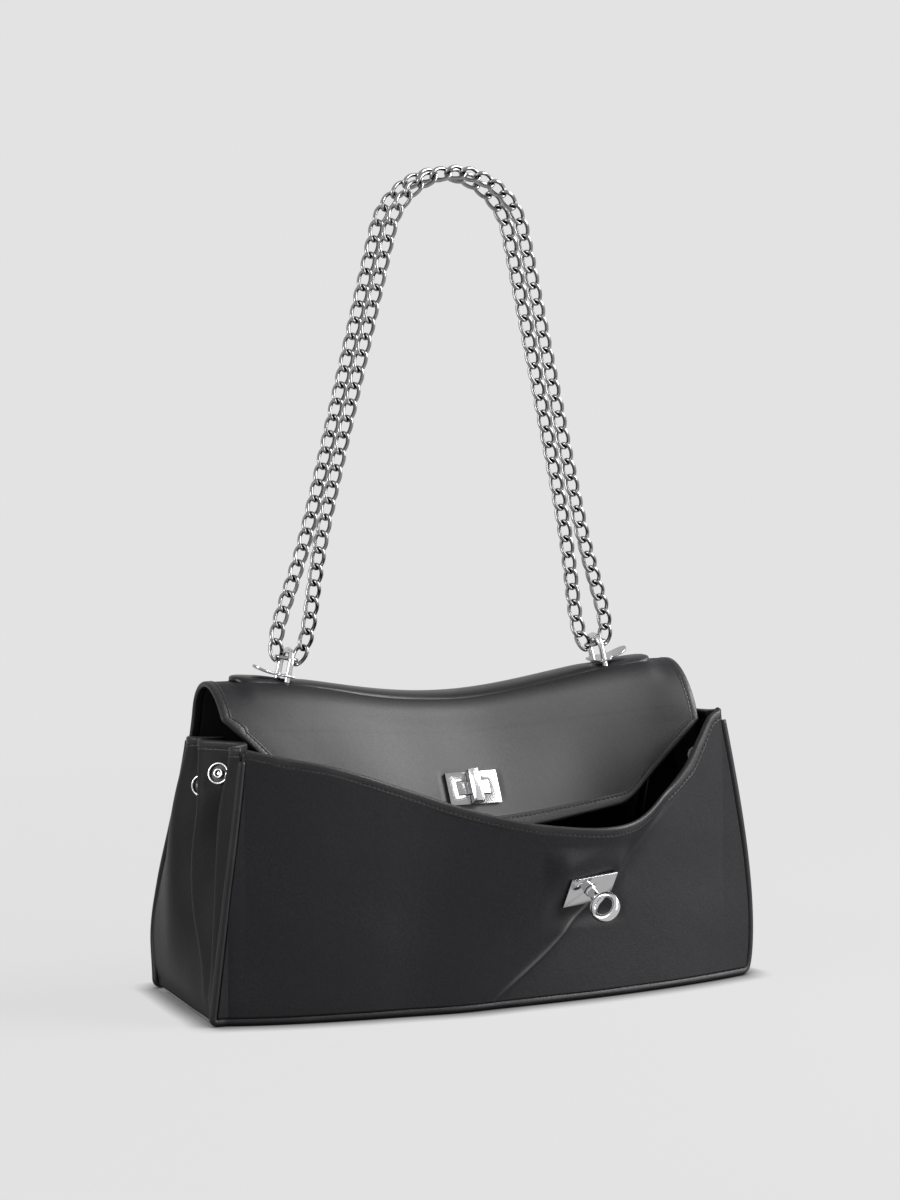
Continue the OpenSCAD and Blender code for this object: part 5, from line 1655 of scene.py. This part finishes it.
class BAG_OT_hidden_parts(bpy.types.Operator):
    """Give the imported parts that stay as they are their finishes"""
    bl_idname = "bag.hidden_parts"
    bl_label = "Hidden Parts"

    def execute(self, context):
        form_of(context)
        for node, finish in (("base_board", "board"), ("strip_filler", "filler")):
            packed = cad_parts[node]
            if not packed.material_slots:
                packed.data.materials.append(MATERIALS[finish])
            packed.material_slots[0].link = "OBJECT"
            packed.material_slots[0].material = MATERIALS[finish]
        return {"FINISHED"}


class BAG_OT_stage(bpy.types.Operator):
    """Set up the floor, the backdrop, the lamps and the camera"""
    bl_idname = "bag.stage"
    bl_label = "Stage"

    def execute(self, context):
        stage = context.scene.bag_stage
        context.scene.view_settings.view_transform = "Standard"
        self.world(context, stage.backdrop)
        self.floor(stage.backdrop)
        self.camera(context, stage)
        for lamp in LAMPS:
            self.lamp(*lamp)
        return {"FINISHED"}

    def seen(self, m):
        """1 for rays from the camera, off gloss and through glass, and 0 for the rest."""
        path = m.node("ShaderNodeLightPath")
        rays = [Signal(m, path.outputs[f"Is {kind} Ray"])
                for kind in ("Camera", "Glossy", "Transmission")]
        return m.maths("MAXIMUM", m.maths("MAXIMUM", rays[0], rays[1]), rays[2])

    def world(self, context, bright):
        """An even world that is bright only where it is seen."""
        world = bpy.data.worlds.new("pale backdrop")
        context.scene.world = world
        m = Maker(world)
        strength = self.seen(m) * (bright - AMBIENT) + AMBIENT
        m.ends_in(m.node("ShaderNodeBackground", Color=(1, 1, 1), Strength=strength),
                  "ShaderNodeOutputWorld")

    def floor(self, bright):
        """A wide floor that shows the backdrop's tone and keeps part of the shadow, most of it right
        beside the bag, where ambient occlusion darkens its glow and colour: a painted contact shadow."""
        mesh = bpy.data.meshes.new("floor")
        mesh.from_pydata([(x * FLOOR_REACH, y * FLOOR_REACH, FLOOR_LEVEL)
                          for x, y in ((-1, -1), (1, -1), (1, 1), (-1, 1))], [], [(0, 1, 2, 3)])
        m = new_material("pale floor")
        near = m.node("ShaderNodeAmbientOcclusion", {"samples": 12}, Distance=0.014)
        open_ = Signal(m, near.outputs["AO"])
        tones = [m.tint(open_ * open_, (0, 0, 0), (tone,) * 3) for tone in (bright, FLOOR_TONE)]
        glow = m.node("ShaderNodeEmission", Color=tones[0], Strength=1.0)
        matt = m.node("ShaderNodeBsdfDiffuse", Color=tones[1])
        away = m.node("ShaderNodeVectorMath", {"operation": "LENGTH"}, s0=m.place())
        share_ = m.stretch(away.outputs["Value"], 0.35, 0.9, FLOOR_GLOW, 1.0)
        both = m.node("ShaderNodeMixShader", Fac=self.seen(m) * share_, s1=matt.outputs[0],
                      s2=glow.outputs[0])
        mesh.materials.append(m.ends_in(both))
        new_object("floor", mesh)

    def lamp(self, name, place, size, watts):
        """A soft box aimed at the bag."""
        data = bpy.data.lights.new(name, "AREA")
        data.shape = "RECTANGLE"
        data.size, data.size_y = size
        data.energy = watts
        self.set_up(name, data, Vector(place), Vector(LAMP_AIM) - Vector(place))

    def camera(self, context, stage):
        """The camera, on a sphere round its target."""
        data = bpy.data.cameras.new("camera")
        data.lens = stage.focal
        data.sensor_width = 36
        a, e = stage.azimuth, stage.elevation
        back = Vector((math.sin(a) * math.cos(e), -math.cos(a) * math.cos(e), math.sin(e)))
        place = Vector(CAMERA_AIM) + back * stage.distance
        context.scene.camera = self.set_up("camera", data, place, -back)

    def set_up(self, name, data, place, way):
        """A lamp or a camera at a place, turned to look a given way."""
        made = new_object(name, data)
        made.location = place
        made.rotation_euler = way.to_track_quat("-Z", "Y").to_euler()
        return made


class BAG_PT_panel(bpy.types.Panel):
    """Sizes, colours and makers of the bag"""
    bl_label = "Chain Shoulder Bag"
    bl_idname = "BAG_PT_panel"
    bl_space_type = "VIEW_3D"
    bl_region_type = "UI"
    bl_category = "Bag"

    def draw(self, context):
        for name, _ in GROUPS:
            group = getattr(context.scene, name)
            box = self.layout.box()
            box.label(text=name.replace("bag_", "").capitalize())
            for key in group.bl_rna.properties.keys():
                if key not in ("rna_type", "name"):
                    box.prop(group, key)
        for operator in OPERATORS:
            self.layout.operator(operator.bl_idname)


GROUPS = (("bag_body", BagBodySizes), ("bag_crease", BagCreaseSizes), ("bag_fold", BagFoldSizes),
          ("bag_flap", BagFlapSizes), ("bag_fittings", BagFittingSizes),
          ("bag_chain", BagChainSizes), ("bag_stitches", BagStitchSizes),
          ("bag_finish", BagFinish), ("bag_stage", BagStage))
OPERATORS = (BAG_OT_front_panel, BAG_OT_front_edge, BAG_OT_gussets, BAG_OT_piping, BAG_OT_base,
             BAG_OT_back_and_flap, BAG_OT_flap_edge, BAG_OT_strip, BAG_OT_snaps, BAG_OT_toggle,
             BAG_OT_lock, BAG_OT_staples, BAG_OT_chain, BAG_OT_hidden_parts, BAG_OT_stage)


def register():
    for name, group in GROUPS:
        bpy.utils.register_class(group)
        setattr(bpy.types.Scene, name, PointerProperty(type=group))
    for operator in OPERATORS:
        bpy.utils.register_class(operator)
    bpy.utils.register_class(BAG_PT_panel)


def unregister():
    bpy.utils.unregister_class(BAG_PT_panel)
    for operator in reversed(OPERATORS):
        bpy.utils.unregister_class(operator)
    for name, group in reversed(GROUPS):
        delattr(bpy.types.Scene, name)
        bpy.utils.unregister_class(group)


def main():
    """Makes every piece in order."""
    register()
    for operator in OPERATORS:
        made = getattr(bpy.ops.bag, operator.bl_idname.split(".")[1])()
        if made != {"FINISHED"}:
            raise RuntimeError(operator.bl_label)


if __name__ == "__main__":
    main()
